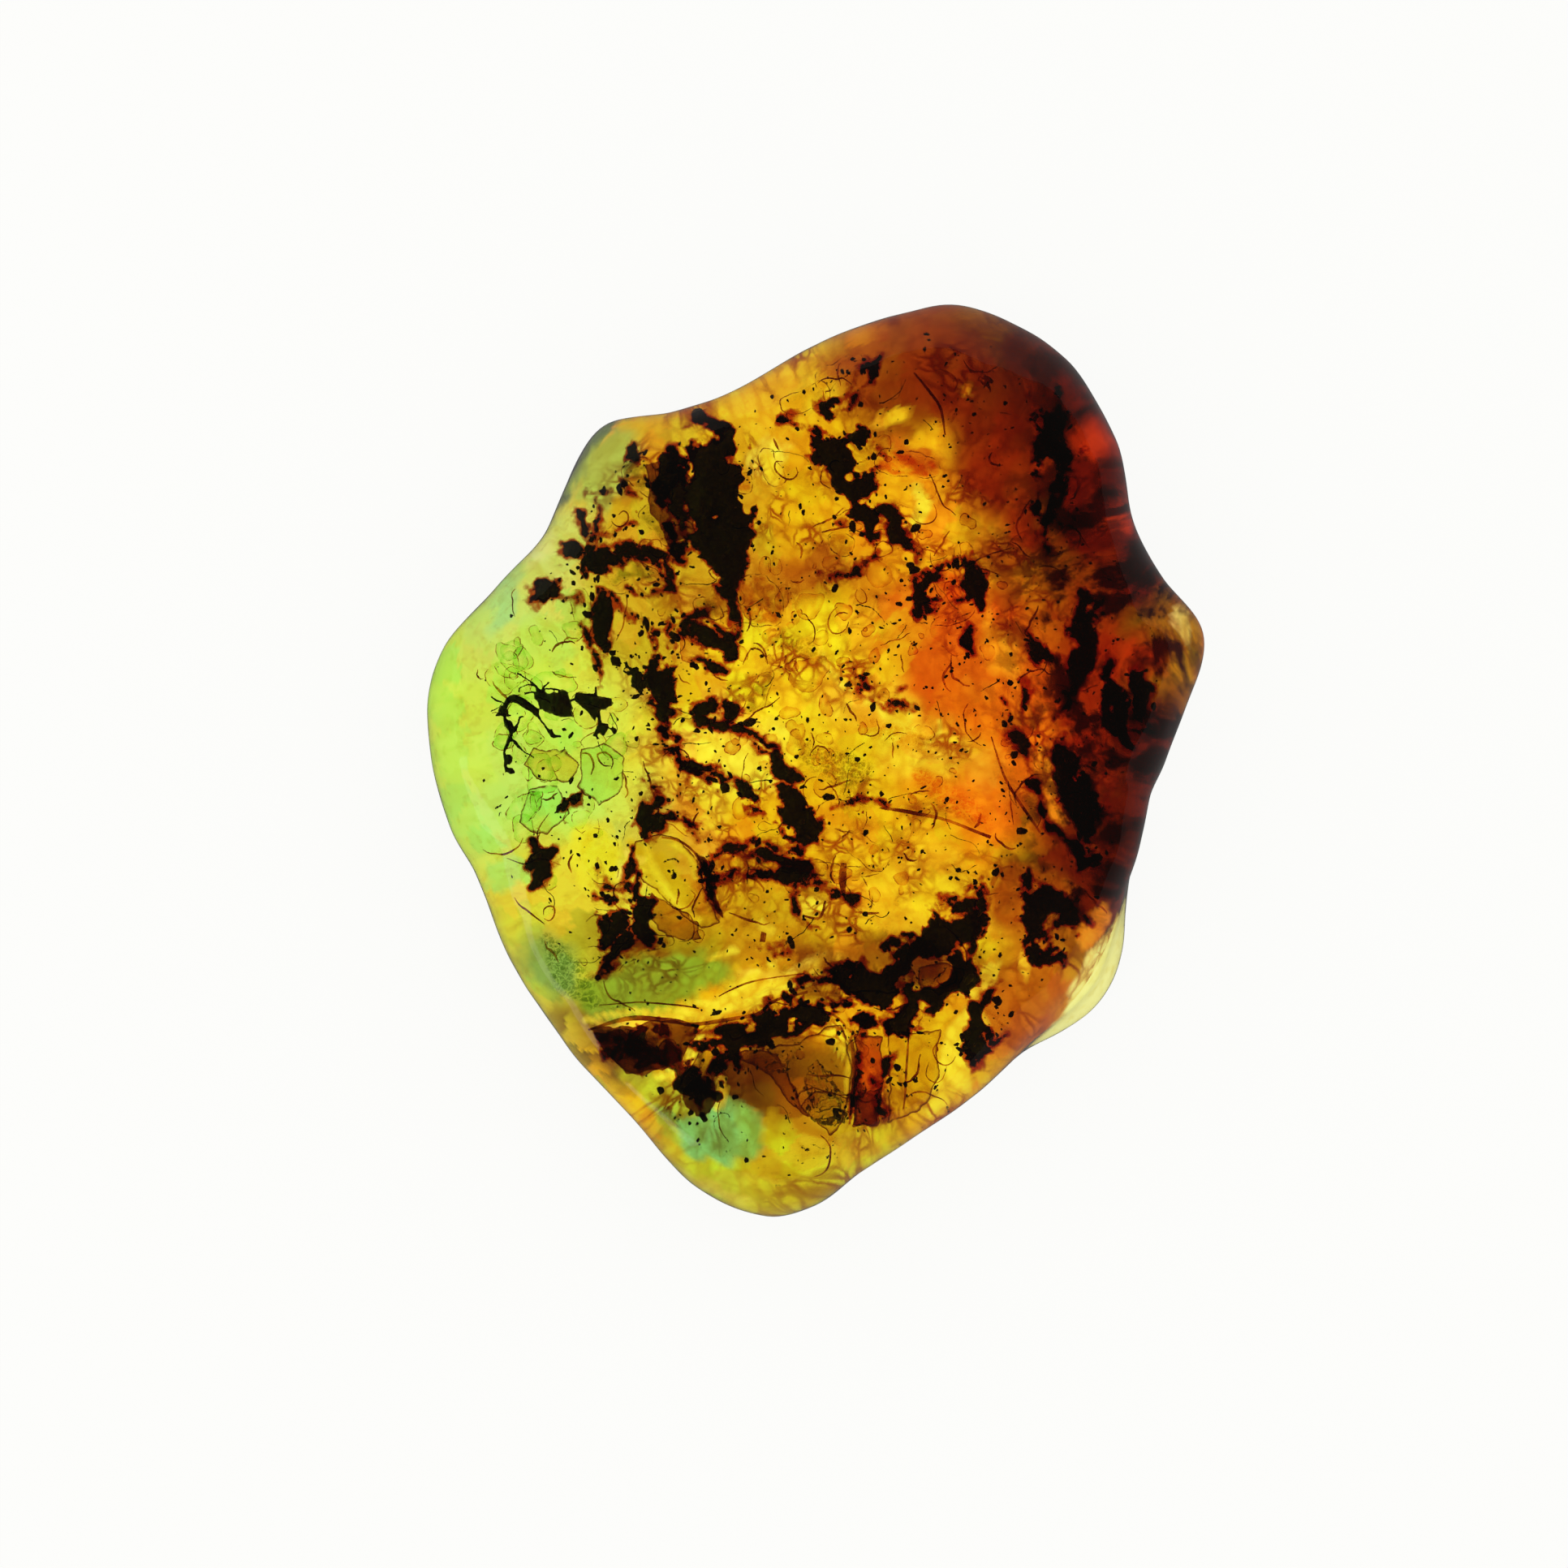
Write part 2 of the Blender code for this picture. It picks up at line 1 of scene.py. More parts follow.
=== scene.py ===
"""A polished nugget of amber with an insect and plant litter sealed in it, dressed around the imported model.

The clear nugget is one piece here. Each sealed piece stands for its own solid and lies where that solid lies.
Lengths in the tables are millimetres; the model is in metres. Bearing 0 is +X and 90 is +Y.
The tables give sealed things where the camera sees them, in the parting plane. The crown bends the view
outward, so true_places moves each of them in to where it lies.
"""

import math

import bmesh
import bpy
import numpy as np
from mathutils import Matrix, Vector, noise


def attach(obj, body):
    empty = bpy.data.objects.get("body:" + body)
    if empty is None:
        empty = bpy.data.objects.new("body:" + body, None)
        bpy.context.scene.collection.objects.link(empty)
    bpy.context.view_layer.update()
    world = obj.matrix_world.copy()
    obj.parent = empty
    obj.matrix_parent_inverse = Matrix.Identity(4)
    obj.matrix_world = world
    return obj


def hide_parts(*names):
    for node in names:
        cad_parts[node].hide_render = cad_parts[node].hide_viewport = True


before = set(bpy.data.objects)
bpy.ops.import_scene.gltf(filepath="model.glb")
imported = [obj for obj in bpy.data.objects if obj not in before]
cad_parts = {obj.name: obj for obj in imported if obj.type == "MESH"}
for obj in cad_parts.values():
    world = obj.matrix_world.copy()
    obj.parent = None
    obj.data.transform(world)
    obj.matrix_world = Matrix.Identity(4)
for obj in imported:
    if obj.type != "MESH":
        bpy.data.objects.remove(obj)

MM = 0.001
BODY = "root"
NOISE_SEED = 7

# The nugget, by the same values as its solids.
RIM = [
    (0, 20.7), (8, 21.9), (18, 23.6), (28, 23.2), (38, 23.7), (48, 26.2), (58, 28.0), (72, 28.4),
    (80, 26.9), (90, 24.5), (102, 22.5), (112, 22.3), (122, 22.8), (132, 21.4), (140, 20.8),
    (152, 21.7), (163, 22.9), (178, 22.6), (190, 21.7), (198, 21.0), (212, 21.5), (228, 22.2),
    (242, 23.4), (254, 26.0), (264, 27.1), (270, 26.4), (277, 24.1), (290, 22.3), (304, 20.8),
    (320, 20.2), (332, 19.7), (344, 19.8), (354, 19.9),
]
PART_HEIGHT = 5.5
CROWN_RISE = 8.5
BELLY_DROP = 11.3
HALF_WIDTH = 24         # a box that the nugget lies in, seen from above
HALF_LENGTH = 27
RIM_BLUNTNESS = 0.70
CROWN_FLATNESS = 0.82
RIM_LOBES = {
    "bright lobe low on the right": (321, -18, 2.7, 12, 12),
    "grey lobe at the upper left": (126, -12, 1.3, 9, 13),
    "knuckle on the right rim": (18, 4, 0.5, 6, 12),
}
CROWN_RELIEF = {
    "left shoulder": (-11.0, 6.0, 1.0, 6.5),
    "middle swell": (3.0, 4.0, 0.9, 6.0),
    "head swell": (9.0, 20.5, 1.6, 5.0),
    "neck hollow": (8.0, 12.5, -0.9, 3.8),
    "tongue hollow": (-1.0, -9.5, -0.9, 4.2),
    "tongue": (-8.4, -7.4, 0.7, 2.4),
    "ledge under the ribbon": (-7.0, -17.0, -0.9, 4.0),
    "toe swell": (-1.5, -20.5, 0.9, 4.0),
    "right hollow": (15.5, -7.0, -0.8, 3.8),
    "right swell": (16.0, 4.5, 0.6, 4.5),
}
RELIEF_FADE = 1.6       # how soon the relief of the crown is full, inward from the rim
WAVER = 0.35
WAVER_SIZE = 7.0
RIPPLE = 0.035          # fine unevenness of the hand-polished skin
RIPPLE_SIZE = 1.9
SKIN_SEGMENTS = 470
CROWN_RINGS = 160
BELLY_RINGS = 50

# The litter, as in its solids: height, flatness, and strands of (x, y, half width).
LITTER = {
    "bark_log": (7.0, 0.5, [[(-6.0, 18.4, 1.0), (-5.9, 16.2, 1.4), (-5.6, 12.5, 1.1), (-4.9, 8.4, 0.2)]]),
    "bark_shreds": (6.3, 0.4, [[(-8.6, 18.2, 0.6), (-9.3, 16.6, 1.0), (-8.4, 14.1, 0.7), (-8.0, 12.0, 0.2)]]),
    "root_star": (6.9, 0.5, [
        [(-16.6, 9.5, 0.2), (-14.6, 10.4, 0.6), (-13.3, 11.6, 0.7), (-11.8, 11.8, 0.4)],
        [(-12.6, 11.7, 0.4), (-11.0, 12.2, 0.35), (-9.6, 12.3, 0.3), (-8.4, 10.9, 0.2)],
        [(-14.9, 12.6, 0.2), (-14.1, 11.2, 0.5), (-12.8, 9.3, 0.4), (-12.3, 6.7, 0.2)],
    ]),
    "clump_by_insect": (6.5, 0.45, [[(-9.3, 7.8, 0.6), (-8.8, 5.5, 1.2), (-9.1, 3.0, 0.6)]]),
    "leaf_frond": (8.3, 0.2, [[(-11.4, 7.1, 0.2), (-10.6, 5.7, 0.7), (-10.3, 4.3, 0.2)]]),
    "bark_crumb_upper": (7.4, 0.5, [[(-7.8, 7.9, 0.3), (-6.4, 7.7, 0.6), (-4.9, 6.8, 0.3)]]),
    "bark_crumb_middle": (6.8, 0.5, [[(-6.6, 2.9, 0.3), (-5.6, 3.3, 0.7), (-4.7, 2.6, 0.3)]]),
    "fine_twig": (8.1, 0.7, [[(-6.4, 2.2, 0.2), (-4.3, 1.9, 0.25), (-2.2, 1.2, 0.15)]]),
    "slanting_twig": (7.7, 0.5, [
        [(-7.7, -0.6, 0.2), (-5.3, -1.4, 0.5), (-2.6, -2.2, 1.1), (0.1, -3.8, 0.6)],
    ]),
    "arched_twig": (7.2, 0.5, [
        [(-11.3, -5.4, 0.3), (-10.5, -3.8, 0.5), (-8.8, -3.1, 0.4), (-7.2, -3.5, 0.2)],
    ]),
    "bark_clump_left": (6.2, 0.45, [[(-12.1, -10.5, 0.4), (-11.0, -8.8, 1.2), (-10.2, -7.1, 0.5)]]),
    "upper_strip": (8.6, 0.5, [[(-6.6, -5.9, 0.2), (-3.6, -5.3, 0.3), (-0.2, -6.6, 0.2)]]),
    "lower_strip": (7.7, 0.5, [[(-6.0, -6.7, 0.15), (-2.2, -7.0, 0.3), (2.5, -8.3, 0.25)]]),
    "bark_slab": (6.3, 0.35, [
        [(8.8, -8.1, 0.4), (7.1, -10.7, 1.2), (4.5, -12.6, 1.2), (1.6, -13.7, 0.5)],
        [(9.2, -9.6, 0.4), (8.3, -12.7, 1.2), (5.5, -15.0, 0.6)],
    ]),
    "upright_splinter": (8.7, 0.7, [[(9.9, -6.9, 0.2), (9.8, -9.1, 0.35), (9.6, -12.0, 0.2)]]),
    "level_bark_band": (6.5, 0.35, [
        [(-6.9, -16.4, 0.6), (-3.8, -16.1, 1.2), (-1.0, -15.5, 1.1), (1.7, -14.4, 0.5)],
    ]),
    "brown_flake": (5.3, 0.25, [[(-12.2, -16.0, 0.5), (-10.3, -16.9, 1.2), (-7.8, -17.6, 0.6)]]),
    "round_knot": (5.4, 0.6, [[(-7.6, -19.7, 0.7), (-6.7, -19.8, 1.0), (-5.7, -19.6, 0.7)]]),
    "wedge_chip": (7.4, 0.3, [[(-1.9, -17.8, 0.3), (0.2, -18.2, 1.3), (1.4, -21.2, 0.3)]]),
    "left_sliver": (7.8, 0.6, [[(2.6, -16.0, 0.15), (2.7, -18.3, 0.25), (2.6, -20.6, 0.15)]]),
    "right_sliver": (7.4, 0.6, [[(4.3, -17.4, 0.15), (4.2, -19.0, 0.25), (4.0, -20.6, 0.15)]]),
    "upright_slab": (6.5, 0.4, [[(10.5, -13.4, 0.3), (9.7, -15.4, 0.7), (9.1, -17.4, 0.3)]]),
    "upper_clump": (7.4, 0.4, [[(-1.0, 20.0, 0.4), (1.3, 18.4, 1.1), (2.7, 16.3, 1.1), (3.4, 13.4, 0.4)]]),
    "clump_tail": (8.3, 0.5, [[(4.6, 14.8, 0.25), (5.0, 13.4, 0.4), (5.9, 12.1, 0.2)]]),
    "hooked_crumb_left": (7.8, 0.5, [[(5.9, 9.2, 0.3), (6.4, 10.6, 0.55), (7.5, 11.2, 0.25)]]),
    "hooked_crumb_right": (7.4, 0.5, [[(8.7, 11.8, 0.3), (9.5, 10.4, 0.6), (9.7, 8.6, 0.25)]]),
    "fine_streak": (8.9, 0.6, [[(1.8, 5.3, 0.15), (3.1, 4.2, 0.35), (4.9, 3.6, 0.2)]]),
    "leaning_splinter": (8.6, 0.5, [[(11.2, 3.2, 0.15), (12.0, 0.2, 0.4), (13.1, -3.2, 0.15)]]),
    "right_clump_middle": (6.9, 0.45, [[(14.7, 0.7, 0.4), (15.5, -2.2, 1.0), (16.2, -5.1, 0.4)]]),
    "right_clump_low": (5.7, 0.4, [[(12.8, -8.3, 0.5), (14.2, -9.7, 1.3), (15.2, -10.2, 0.5)]]),
    "right_streak": (6.2, 0.5, [[(16.4, 5.4, 0.3), (18.2, 3.4, 0.5), (19.0, 1.1, 0.2)]]),
    "right_clump_upper": (6.8, 0.45, [[(15.6, 9.8, 0.4), (16.0, 7.4, 0.85), (14.8, 4.5, 0.35)]]),
    "crown_streak": (7.2, 0.6, [[(3.5, 24.0, 0.15), (2.4, 22.6, 0.3), (1.0, 21.3, 0.15)]]),
    "head_clump": (6.8, 0.45, [[(13.2, 21.5, 0.6), (14.2, 18.2, 1.15), (13.7, 13.9, 0.6)]]),
    "small_star": (6.6, 0.5, [
        [(-17.0, -4.6, 0.15), (-16.5, -5.9, 0.4), (-16.6, -7.2, 0.15)],
        [(-17.3, -6.3, 0.15), (-16.5, -5.9, 0.3), (-15.4, -5.3, 0.15)],
    ]),
    "red_flake": (7.2, 0.35, [[(-14.9, -2.8, 0.15), (-14.4, -2.2, 0.4), (-13.9, -1.8, 0.15)]]),
    "pin_piece": (8.4, 0.7, [[(-3.4, -10.4, 0.2), (-2.4, -10.6, 0.25), (-1.4, -10.9, 0.15)]]),
}
# Finer branches of the same pieces, too thin for the solids.
LITTER_BRANCHES = {
    "bark_log": [
        [(-7.4, 20.0, 0.2), (-6.4, 20.4, 0.5), (-5.0, 19.7, 0.5), (-4.6, 18.0, 0.5)],
        [(-7.9, 18.6, 0.3), (-7.6, 16.6, 0.3), (-8.0, 14.8, 0.5), (-7.2, 13.0, 0.5), (-6.0, 11.6, 0.4)],
        [(-4.8, 13.6, 0.5), (-5.3, 10.6, 0.5), (-5.0, 7.9, 0.15)],
    ],
    "bark_shreds": [
        [(-11.9, 16.7, 0.06), (-11.2, 15.9, 0.14), (-10.3, 15.5, 0.16), (-9.4, 15.0, 0.1),
         (-8.6, 15.0, 0.08)],
        [(-13.3, 15.4, 0.06), (-12.8, 14.5, 0.1), (-12.7, 13.6, 0.07), (-12.3, 13.1, 0.1),
         (-10.8, 14.1, 0.06)],
        [(-13.6, 15.9, 0.1), (-13.0, 15.95, 0.17), (-12.4, 15.9, 0.1)],
        [(-14.1, 15.0, 0.1), (-13.6, 14.2, 0.24), (-13.4, 13.4, 0.16)],
        [(-10.9, 18.6, 0.2), (-10.2, 17.4, 0.5), (-9.4, 15.9, 0.2)],
    ],
    "root_star": [
        [(-15.3, 12.4, 0.1), (-14.2, 11.6, 0.42), (-13.1, 10.9, 0.6), (-12.9, 9.6, 0.36), (-12.8, 7.4, 0.12)],
        [(-16.7, 9.9, 0.05), (-16.0, 10.2, 0.16), (-14.5, 9.4, 0.2), (-13.3, 10.0, 0.3)],
        [(-12.9, 11.3, 0.3), (-12.1, 12.0, 0.26), (-11.1, 12.5, 0.24), (-10.0, 12.2, 0.3), (-9.0, 11.2, 0.32),
         (-8.5, 10.4, 0.12)],
        [(-12.6, 9.9, 0.25), (-11.6, 8.9, 0.12), (-10.8, 8.7, 0.05)],
        [(-11.2, 10.3, 0.05), (-10.6, 9.9, 0.12), (-9.6, 10.1, 0.12), (-8.8, 10.3, 0.1)],
        [(-14.1, 8.2, 0.07), (-13.5, 6.9, 0.22), (-12.9, 6.1, 0.24), (-12.8, 5.0, 0.08)],
    ],
    "clump_by_insect": [
        [(-10.4, 8.4, 0.06), (-9.9, 7.9, 0.2), (-9.2, 6.9, 0.6), (-8.7, 5.4, 0.8), (-8.0, 3.9, 0.6)],
        [(-10.4, 4.2, 0.1), (-9.9, 3.5, 0.3), (-9.0, 3.0, 0.3), (-8.0, 2.9, 0.1)],
        [(-8.3, 8.6, 0.05), (-8.7, 7.7, 0.2)],
    ],
    "bark_crumb_upper": [
        [(-7.5, 5.9, 0.1), (-6.5, 6.1, 0.32), (-5.5, 5.6, 0.1)],
        [(-7.9, 8.3, 0.1), (-6.6, 8.6, 0.22), (-5.2, 7.9, 0.25), (-4.8, 7.0, 0.12)],
    ],
    "bark_crumb_middle": [
        [(-6.8, 2.4, 0.1), (-6.2, 2.0, 0.22), (-5.0, 2.3, 0.12)],
        [(-9.6, 1.6, 0.1), (-8.8, 1.3, 0.3), (-8.0, 1.0, 0.14)],
        [(-8.9, 0.4, 0.1), (-8.3, 0.1, 0.24), (-7.9, -0.8, 0.1)],
    ],
    "slanting_twig": [
        [(-9.7, -1.6, 0.15), (-8.6, -2.2, 0.5), (-7.7, -3.3, 0.3), (-7.2, -4.3, 0.1)],
        [(-7.9, -0.3, 0.2), (-6.6, -0.6, 0.34), (-5.2, -1.3, 0.4), (-3.6, -1.6, 0.5), (-1.8, -2.8, 0.4)],
        [(-4.0, -2.8, 0.2), (-2.6, -3.4, 0.4), (-0.8, -4.2, 0.4), (0.4, -4.6, 0.1)],
        [(-3.4, 1.4, 0.1), (-2.6, 0.6, 0.3), (-2.2, -0.6, 0.3), (-1.0, -1.2, 0.12)],
        [(0.4, -3.4, 0.2), (2.6, -2.2, 0.12), (4.2, -2.6, 0.06)],
    ],
    "arched_twig": [
        [(-9.4, -1.9, 0.3), (-10.2, -3.1, 0.42), (-10.7, -4.2, 0.26), (-11.3, -5.4, 0.16),
         (-11.9, -6.6, 0.08)],
        [(-13.2, -6.4, 0.05), (-12.2, -6.9, 0.12), (-11.4, -6.6, 0.1)],
    ],
    "bark_clump_left": [
        [(-12.9, -7.8, 0.1), (-12.1, -8.0, 0.22), (-11.2, -8.1, 0.2)],
        [(-10.2, -6.4, 0.2), (-10.2, -8.6, 0.7), (-10.0, -10.2, 0.5), (-9.5, -10.9, 0.12)],
        [(-12.6, -12.5, 0.1), (-11.6, -11.4, 0.25), (-10.9, -10.4, 0.4)],
    ],
    "upper_strip": [
        [(-6.9, -5.9, 0.08), (-4.8, -5.1, 0.2), (-2.6, -4.9, 0.14), (-0.6, -5.5, 0.1)],
    ],
    "lower_strip": [
        [(-6.6, -6.2, 0.1), (-5.8, -6.9, 0.16), (-4.2, -6.6, 0.2), (-2.2, -7.1, 0.2), (0.4, -7.6, 0.2)],
        [(-6.9, -6.4, 0.1), (-6.2, -7.9, 0.16), (-5.7, -9.3, 0.05)],
        [(-1.6, -7.0, 0.08), (-0.9, -8.8, 0.08), (0.6, -9.6, 0.05)],
    ],
    "bark_slab": [
        [(9.0, -7.2, 0.08), (7.2, -9.2, 0.5), (4.4, -11.2, 0.5), (1.2, -12.8, 0.3), (-1.2, -13.4, 0.08)],
        [(7.0, -12.6, 0.6), (6.6, -14.4, 0.7), (4.2, -15.6, 0.4)],
    ],
    "level_bark_band": [
        [(-9.6, -16.0, 0.1), (-7.6, -15.6, 0.3), (-4.6, -15.3, 0.5), (-1.4, -14.9, 0.55), (1.0, -15.4, 0.4)],
        [(-4.2, -16.2, 0.75), (-1.2, -15.9, 0.85), (1.2, -15.1, 0.65), (3.2, -15.1, 0.3)],
        [(-5.9, -17.2, 0.4), (-6.3, -18.2, 0.35)],
        [(-4.8, -17.0, 0.5), (-4.6, -18.0, 0.2)],
    ],
    "round_knot": [[(-8.6, -20.4, 0.2), (-7.2, -20.6, 0.4), (-5.8, -19.0, 0.3), (-5.6, -17.6, 0.2)]],
    "upright_slab": [
        [(10.7, -12.6, 0.1), (10.2, -14.4, 0.4), (9.0, -16.6, 0.3), (9.6, -18.2, 0.1)],
        [(11.4, -15.6, 0.08), (10.4, -16.2, 0.2)],
    ],
    "upper_clump": [
        [(-1.8, 20.2, 0.2), (-0.3, 20.0, 0.42), (1.0, 19.2, 0.36), (1.7, 17.6, 0.42), (2.6, 15.6, 0.5),
         (4.1, 15.2, 0.4), (4.6, 13.8, 0.3)],
        [(2.0, 18.0, 0.2), (3.3, 18.6, 0.22), (3.9, 18.0, 0.2), (3.1, 17.3, 0.1)],
        [(1.0, 14.4, 0.1), (2.1, 14.0, 0.3), (3.2, 13.4, 0.3), (3.6, 11.9, 0.24), (2.2, 11.0, 0.16),
         (0.0, 11.1, 0.08)],
    ],
    "clump_tail": [[(4.2, 15.4, 0.2), (4.9, 13.9, 0.26), (5.6, 12.7, 0.12)]],
    "hooked_crumb_left": [
        [(5.5, 11.2, 0.1), (6.0, 10.1, 0.22), (6.6, 9.3, 0.16)],
        [(6.4, 10.2, 0.2), (7.1, 11.3, 0.2), (8.3, 11.8, 0.08)],
    ],
    "hooked_crumb_right": [
        [(8.9, 11.7, 0.2), (9.8, 10.8, 0.36), (9.3, 9.7, 0.3), (8.4, 9.8, 0.1)],
        [(8.6, 8.6, 0.1), (9.2, 7.4, 0.2), (9.4, 6.2, 0.08)],
    ],
    "fine_streak": [
        [(1.6, 5.8, 0.06), (2.4, 4.8, 0.1), (3.6, 4.3, 0.18), (5.0, 4.4, 0.06)],
        [(1.9, 4.9, 0.06), (2.9, 3.7, 0.12), (4.4, 3.3, 0.06)],
    ],
    "leaning_splinter": [
        [(11.0, 4.2, 0.05), (11.4, 2.4, 0.14), (12.3, -0.6, 0.2), (13.2, -3.6, 0.1)],
        [(12.2, 5.6, 0.1), (12.6, 4.6, 0.24), (12.2, 3.4, 0.1)],
    ],
    "right_clump_middle": [
        [(14.4, 1.8, 0.2), (14.4, -0.6, 0.5), (15.6, -3.6, 0.6), (16.8, -6.0, 0.3)],
        [(13.4, -3.6, 0.1), (14.4, -4.2, 0.3), (15.8, -5.8, 0.5)],
    ],
    "right_clump_low": [[(12.4, -6.6, 0.1), (13.0, -7.8, 0.4), (14.6, -8.6, 0.5), (16.4, -9.4, 0.2)]],
    "right_streak": [
        [(17.2, 6.8, 0.1), (17.0, 4.8, 0.36), (18.2, 2.6, 0.34), (19.6, 2.0, 0.1)],
        [(18.6, 5.4, 0.1), (19.4, 4.0, 0.24), (19.6, 2.8, 0.1)],
    ],
    "right_clump_upper": [
        [(16.9, 9.6, 0.15), (15.8, 8.2, 0.5), (15.4, 6.2, 0.5), (14.8, 3.8, 0.3), (14.2, 2.6, 0.1)],
        [(12.8, 7.6, 0.1), (13.4, 6.8, 0.3), (14.6, 6.4, 0.3)],
    ],
    "crown_streak": [[(0.7, 21.0, 0.36), (1.7, 22.5, 0.16), (2.8, 23.6, 0.1)]],
    "head_clump": [
        [(13.3, 23.2, 0.3), (14.1, 21.4, 0.6), (13.4, 19.0, 0.5), (13.0, 15.6, 0.4), (13.6, 12.8, 0.2)],
    ],
}
LITTER_STEP = 0.08      # grid that the torn pieces are cut on
STRAND_SAMPLES = 40
STRAND_TILT = 0.06
STRAND_DRIFT = (0.22, 1.1, 4)   # how far the strands wander: reach, size and octaves
STRAND_SWAY = (0.45, 3.0, 1)
TEAR = 0.5              # how far the torn edge strays from the strand's edge
TEAR_SIZE = 0.9
TEAR_ROUGHNESS = 0.68
THIN_TEAR = 0.25        # the share of the tear that is left where a strand is thin
SWELL = 1.0             # slower bulges and bays of the same edge
SWELL_SIZE = 1.7
CORE = 0.88             # the share of a solid strand's width that the torn piece starts from
HOLES = 2.6             # how deep holes are torn in the wide pieces
HOLE_SIZE = 1.4
HOLE_LEVEL = 0.42       # and how rare they are
FACE_GRAIN = 0.35       # how uneven the faces of the torn pieces are
FACE_GRAIN_SIZE = 0.5
STAIN_REACH = 0.34      # how far the resin is stained round a torn edge
STAIN_STEP = 0.127
STAIN_HALF_THICKNESS = 0.05
STAIN_TAPER = 0.1       # how far from its edge a stain has its full thickness
TEAR_MARGIN = 0.8       # room round the strands for what strays

INSECT_LEVEL = PART_HEIGHT
# Rounded parts of the body: middle, half lengths, turn about Z in degrees.
INSECT_BODY = {
    "head": ((-16.30, 4.00, 0.05), (0.34, 0.34, 0.34), 25),
    "thorax": ((-15.50, 3.55, 0.10), (0.85, 0.70, 0.60), -6),
    "abdomen": ((-12.95, 3.70, 0.05), (0.95, 0.46, 0.52), 2),
}
# The horny plates that square off the thorax and the abdomen: corners seen from above, and half thickness.
INSECT_PLATES = {
    "thorax": (0.30, [
        (-16.42, 4.24), (-16.1, 4.12), (-15.5, 4.06), (-15.26, 4.4), (-15.05, 4.46), (-14.8, 4.26),
        (-14.75, 3.76), (-14.57, 3.26), (-14.68, 3.04), (-14.54, 2.72), (-15.3, 2.72), (-15.6, 2.82),
        (-15.8, 3.1), (-16.36, 3.2), (-16.45, 3.64),
    ]),
    "abdomen": (0.26, [
        (-14.4, 4.12), (-14.3, 4.28), (-13.16, 4.32), (-13.1, 4.1), (-12.06, 4.08), (-12.08, 3.64),
        (-12.44, 3.2), (-12.94, 3.12), (-13.0, 2.9), (-13.14, 2.42), (-13.5, 2.86), (-13.7, 3.1),
        (-14.4, 3.7),
    ]),
}
